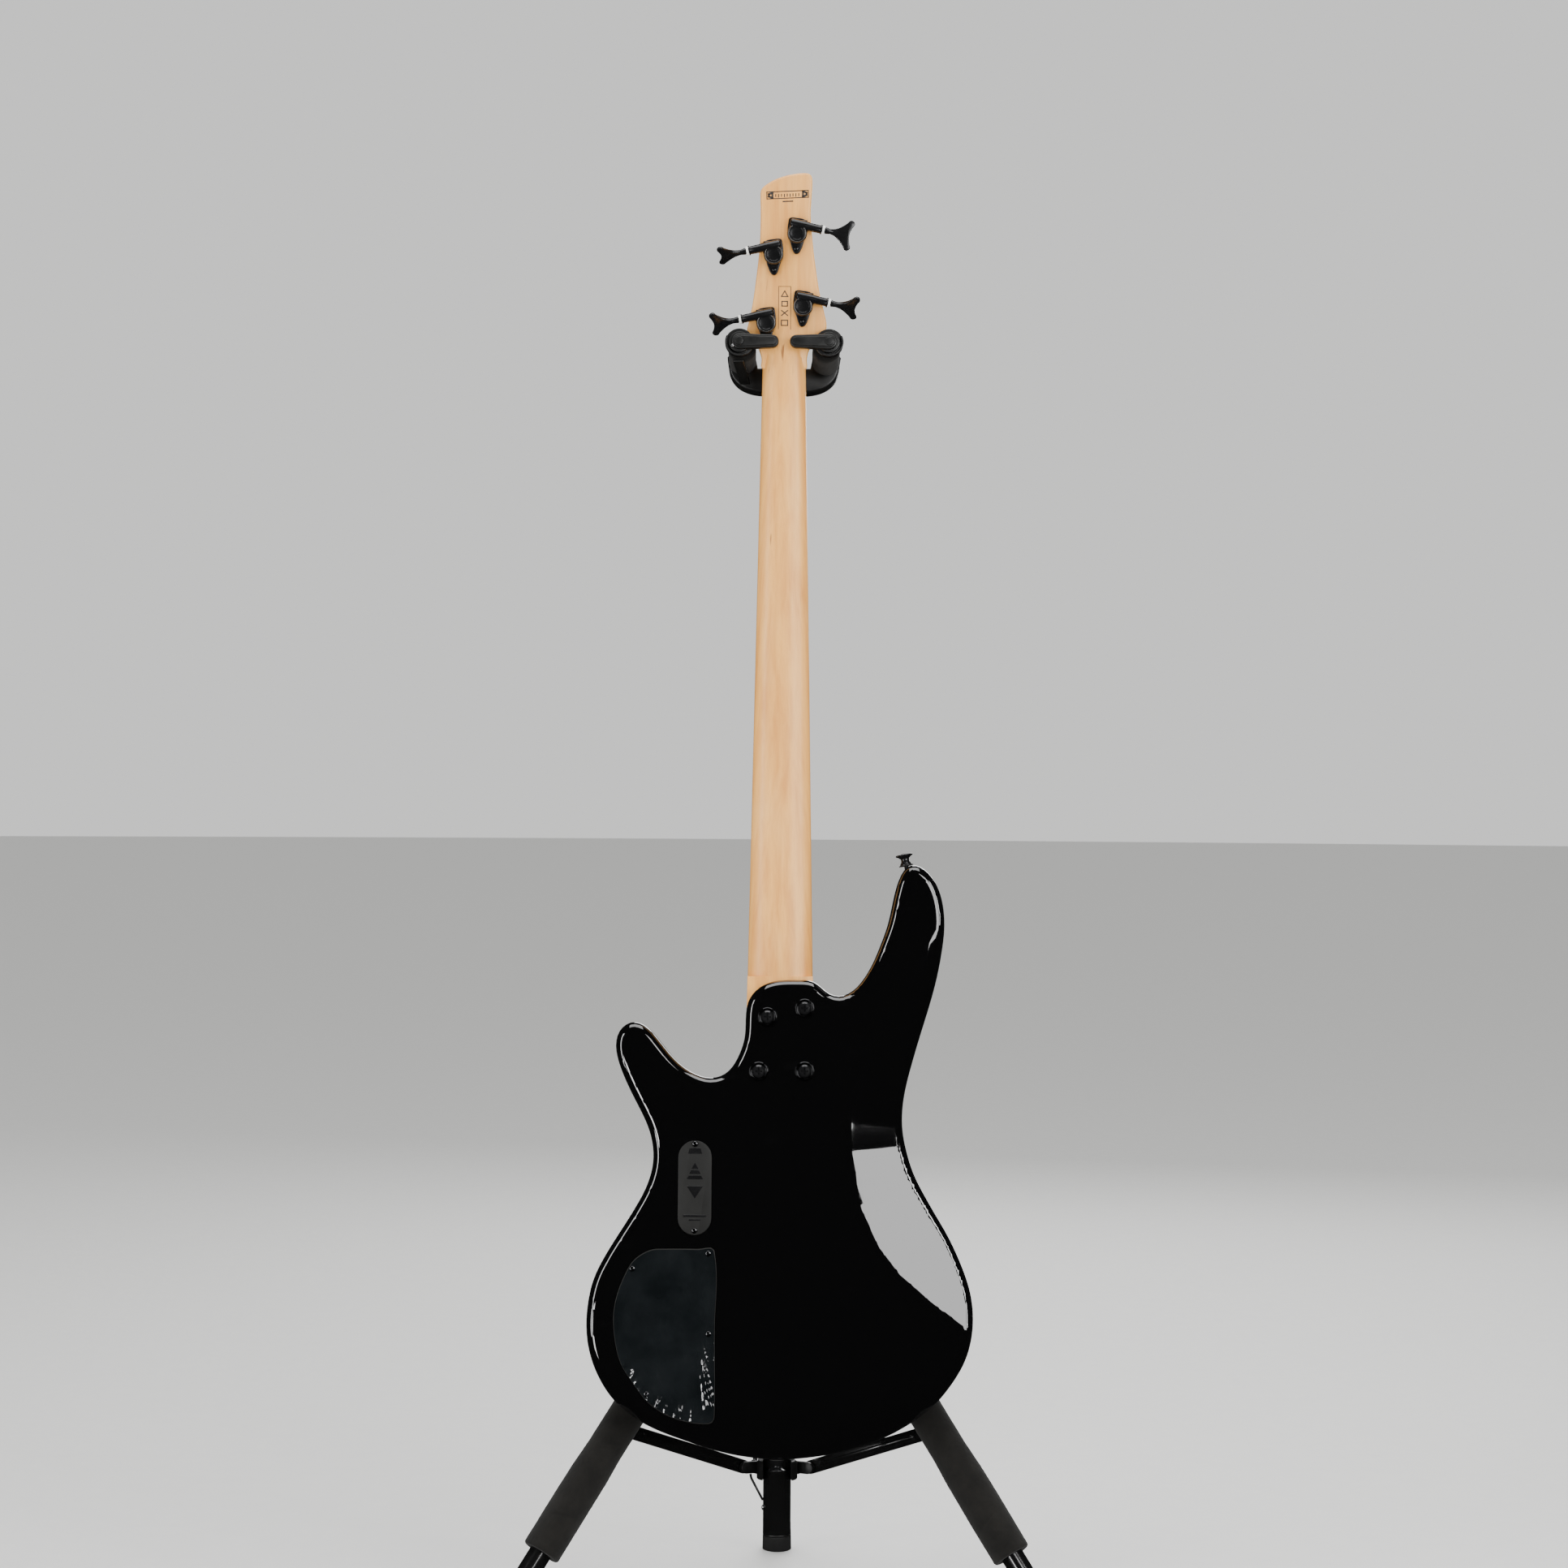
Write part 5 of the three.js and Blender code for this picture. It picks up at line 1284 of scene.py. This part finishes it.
# the cross piece on the upper tube, two padded prongs and a swinging gate at the front of each
yokeSizes = {"prongX": 38, "prongZ": 1148.6, "prongRadius": 6.5, "rise": 14.7, "ring": (-70, -73.5),
             "gate": (40.5, 1151), "pad": (-38.2, -66.2), "padRadius": 12.6, "ringRadius": 13}
gateSizes = {"back": -73.8, "front": -80.8, "hub": 9.5, "root": 7.1, "tip": 5.9, "reach": 29.6}


def prongPoint(side, y):
    climb = (y - yokeSizes["ring"][1]) * math.tan(math.radians(yokeSizes["rise"]))
    return Vector((side * yokeSizes["prongX"], y, yokeSizes["prongZ"] - climb))


def arcOf(radius, fromAngle, toAngle, count=18, middle=(0, 0)):
    # points of x and distance below, along an arc seen with z up
    turns = [math.radians(fromAngle + (toAngle - fromAngle) * k / count) for k in range(count + 1)]
    return [(middle[0] + radius * math.cos(turn), -middle[1] - radius * math.sin(turn)) for turn in turns]


def makeYoke():
    bend = geometry.interpolate_bezier(Vector((22, 1113.5)), Vector((38, 1115)), Vector((47, 1122)),
                                       Vector((50, 1133)), 12)
    half = [(point.x, point.y) for point in bend]
    half += [(52, 1146), (50.5, 1148), (27.5, 1148), (26, 1146), (24, 1136)]
    outline = [(x, -z) for x, z in half] + [(-x, -z) for x, z in reversed(half)]
    cross = slab(outline, -34, -12, 2.4, 4)
    stem = turned([(10.3, 1098), (14.7, 1098), (15.5, 1099), (15.5, 1103), (14.9, 1103.8), (14.9, 1105.2),
                   (15.5, 1106), (15.5, 1133.5), (13.5, 1136), (0, 1136), (0, 1122.5), (10.3, 1122.5),
                   (10.3, 1098)], 72, 0.3, 2)
    bridge = block((-13, -20, 1114), (13, 2, 1136), 2.5, 4)
    yoke = together(cross, stem, bridge)
    back, front = yokeSizes["ring"]
    gateX, gateZ = yokeSizes["gate"]
    for side in (-1, 1):
        prong = rod(prongPoint(side, -16), prongPoint(side, -71), yokeSizes["prongRadius"], 40)
        yoke = together(yoke, prong)
        start, end = (side * gateX, back, gateZ), (side * gateX, front, gateZ)
        ring = rod(start, end, yokeSizes["ringRadius"], 72, 0.7)
        # raised guard round the outer side of the gate's hub
        guard = slab(arcOf(13, -118, 28, 30) + arcOf(11.3, 28, -118, 30), -77.6, -73, 0.5, 3)
        yoke = together(yoke, ring, moved(guard, shift(side * gateX, 0,
                                                       gateZ) @ Matrix.Diagonal((side, 1, 1, 1))))
    # stay under the left pad, from the ring back to the cross piece
    stay = onLine(block((-4.8, -1.4, 0), (4.8, 1.4, 41), 0.9, 3), (-41.5, -71.5, 1135.2),
                  (-35.5, -33, 1121.5))
    return together(yoke, stay)


def makeYokePad(side):
    # foam roll, rounded at its ends and slightly flattened by use
    start, end = (prongPoint(side, y) for y in yokeSizes["pad"])
    length = (end - start).length
    radius = yokeSizes["padRadius"]
    levels = [1.8 + (length - 3.6) * k / 26 for k in range(27)]
    profile = [(6.8, 0), (radius - 2.2, 0), (radius - 0.8, 0.5)] + [(radius, level) for level in levels]
    profile += [(radius - 0.8, length - 0.5), (radius - 2.2, length), (6.8, length), (6.8, 0)]
    roll = turned(profile, 96)
    for vert in roll.verts:
        reach = math.hypot(vert.co.x, vert.co.y)
        if reach > 9:
            inward = 0.3 * (0.5 - noise.noise(Vector(vert.co) * 0.12 + Vector((side, 0, 0))))
            vert.co.x *= 1 - inward / reach
            vert.co.y *= 1 - inward / reach
    return onLine(roll, start, end)


def fingerOutline(margin=0.0):
    root = arcOf(gateSizes["root"] - margin, -92, 92, 28)
    return root + arcOf(gateSizes["tip"] - margin, 92, 268, 22, (-gateSizes["reach"], 0.2))


def makeGate():
    # finger on a turning disc, with a raised panel and a round boss over its pivot
    front, back = gateSizes["front"], gateSizes["back"]
    finger = slab(fingerOutline(), front, back, 1.3, 4)
    disc = rod((0, back, 0), (0, back - 3.6, 0), gateSizes["hub"], 64, 0.6)
    panel = slab(fingerOutline(2.0), front - 0.8, front + 1, 0.6, 3)
    boss = rod((0, front, 0), (0, front - 1.7, 0), 3.8, 40, 0.5)
    return together(finger, disc, panel, boss)


piece("yokeFrame", makeYoke(), mast, "moulding", "upper_mast", ["yoke"])
for name, side in (("left", -1), ("right", 1)):
    pad = piece("yokePad_" + name, makeYokePad(side), mast, "foam", "upper_mast",
                ["yoke_pad_" + name])
    gateX, gateZ = yokeSizes["gate"]
    gatePlace = mast @ shift(side * gateX, 0, gateZ) @ Matrix.Diagonal((side, 1, 1, 1))
    piece("gateFinger_" + name, makeGate(), gatePlace, "moulding", "gate_" + name,
          ["gate_" + name])
gateScrew = onLine(dome(1.3, 0.7, 20), (6.2, gateSizes["front"] - 0.4, -4.4), (6.2, -90, -4.4))
leftGate = mast @ shift(-yokeSizes["gate"][0], 0, yokeSizes["gate"][1]) @ Matrix.Diagonal((-1, 1, 1, 1))
piece("gateScrew", gateScrew, leftGate, "steel", "gate_left")

print("floor and light")
stage = {"floor": 40.0, "backdrop": (0.80, 0.80, 0.79), "mirrored": 0.02, "seen": 1.1}
floorMesh = bmesh.new()
bmesh.ops.create_circle(floorMesh, cap_ends=True, segments=96, radius=stage["floor"])
floorData = bpy.data.meshes.new("floor")
floorMesh.to_mesh(floorData)
floorMesh.free()
floor = bpy.data.objects.new("floor", floorData)
bpy.context.scene.collection.objects.link(floor)
floorData.materials.append(plainFinish("paleFloor", (0.78, 0.78, 0.77), (0.74, 0.74, 0.73), (0.5, 0.62),
                                       0, 60, 0.0004))
floor.visible_glossy = False

world = bpy.data.worlds.new("studio")
bpy.context.scene.world = world
world.use_nodes = True
worldTree = world.node_tree
# pale to the eye and to matt surfaces, darker in reflections so that the gloss stays black
seen = worldTree.nodes["Background"]
seen.inputs["Color"].default_value = (*stage["backdrop"], 1)
seen.inputs["Strength"].default_value = stage["seen"]
mirrored = worldTree.nodes.new("ShaderNodeBackground")
mirrored.inputs["Color"].default_value = (*stage["backdrop"], 1)
mirrored.inputs["Strength"].default_value = stage["mirrored"]
ray = worldTree.nodes.new("ShaderNodeLightPath")
choose = worldTree.nodes.new("ShaderNodeMixShader")
worldTree.links.new(ray.outputs["Is Glossy Ray"], choose.inputs[0])
worldTree.links.new(seen.outputs[0], choose.inputs[1])
worldTree.links.new(mirrored.outputs[0], choose.inputs[2])
worldTree.links.new(choose.outputs[0], worldTree.nodes["World Output"].inputs[0])

# soft panels: where each stands, what it faces, its width and height, and its power
panels = {
    "rightPanel": ((1.14, -2.13, 1.25), (0.1, -0.17, 0.42), 1.0, 1.1, 26),
    "rightTall": ((1.9, -1.6, 1.45), (0, 0, 0.8), 0.25, 1.3, 16),
    "leftTall": ((-1.9, -1.7, 0.95), (0, 0, 0.7), 0.5, 1.7, 24),
    "leftLow": ((-1.15, -2.2, 0.30), (-0.08, -0.18, 0.26), 0.45, 0.45, 9),
    "topPanel": ((0, -0.6, 3.0), (0, 0, 0.6), 2.4, 1.8, 60),
    "backPanel": ((0.6, 2.6, 1.9), (0, 0, 0.7), 1.8, 1.4, 40),
}
for name, (place, target, width, height, power) in panels.items():
    light = bpy.data.lights.new(name, "AREA")
    light.shape = "RECTANGLE"
    light.size = width
    light.size_y = height
    light.energy = power
    lamp = bpy.data.objects.new(name, light)
    bpy.context.scene.collection.objects.link(lamp)
    lamp.location = place
    lamp.rotation_euler = (Vector(target) - Vector(place)).to_track_quat("-Z", "Y").to_euler()
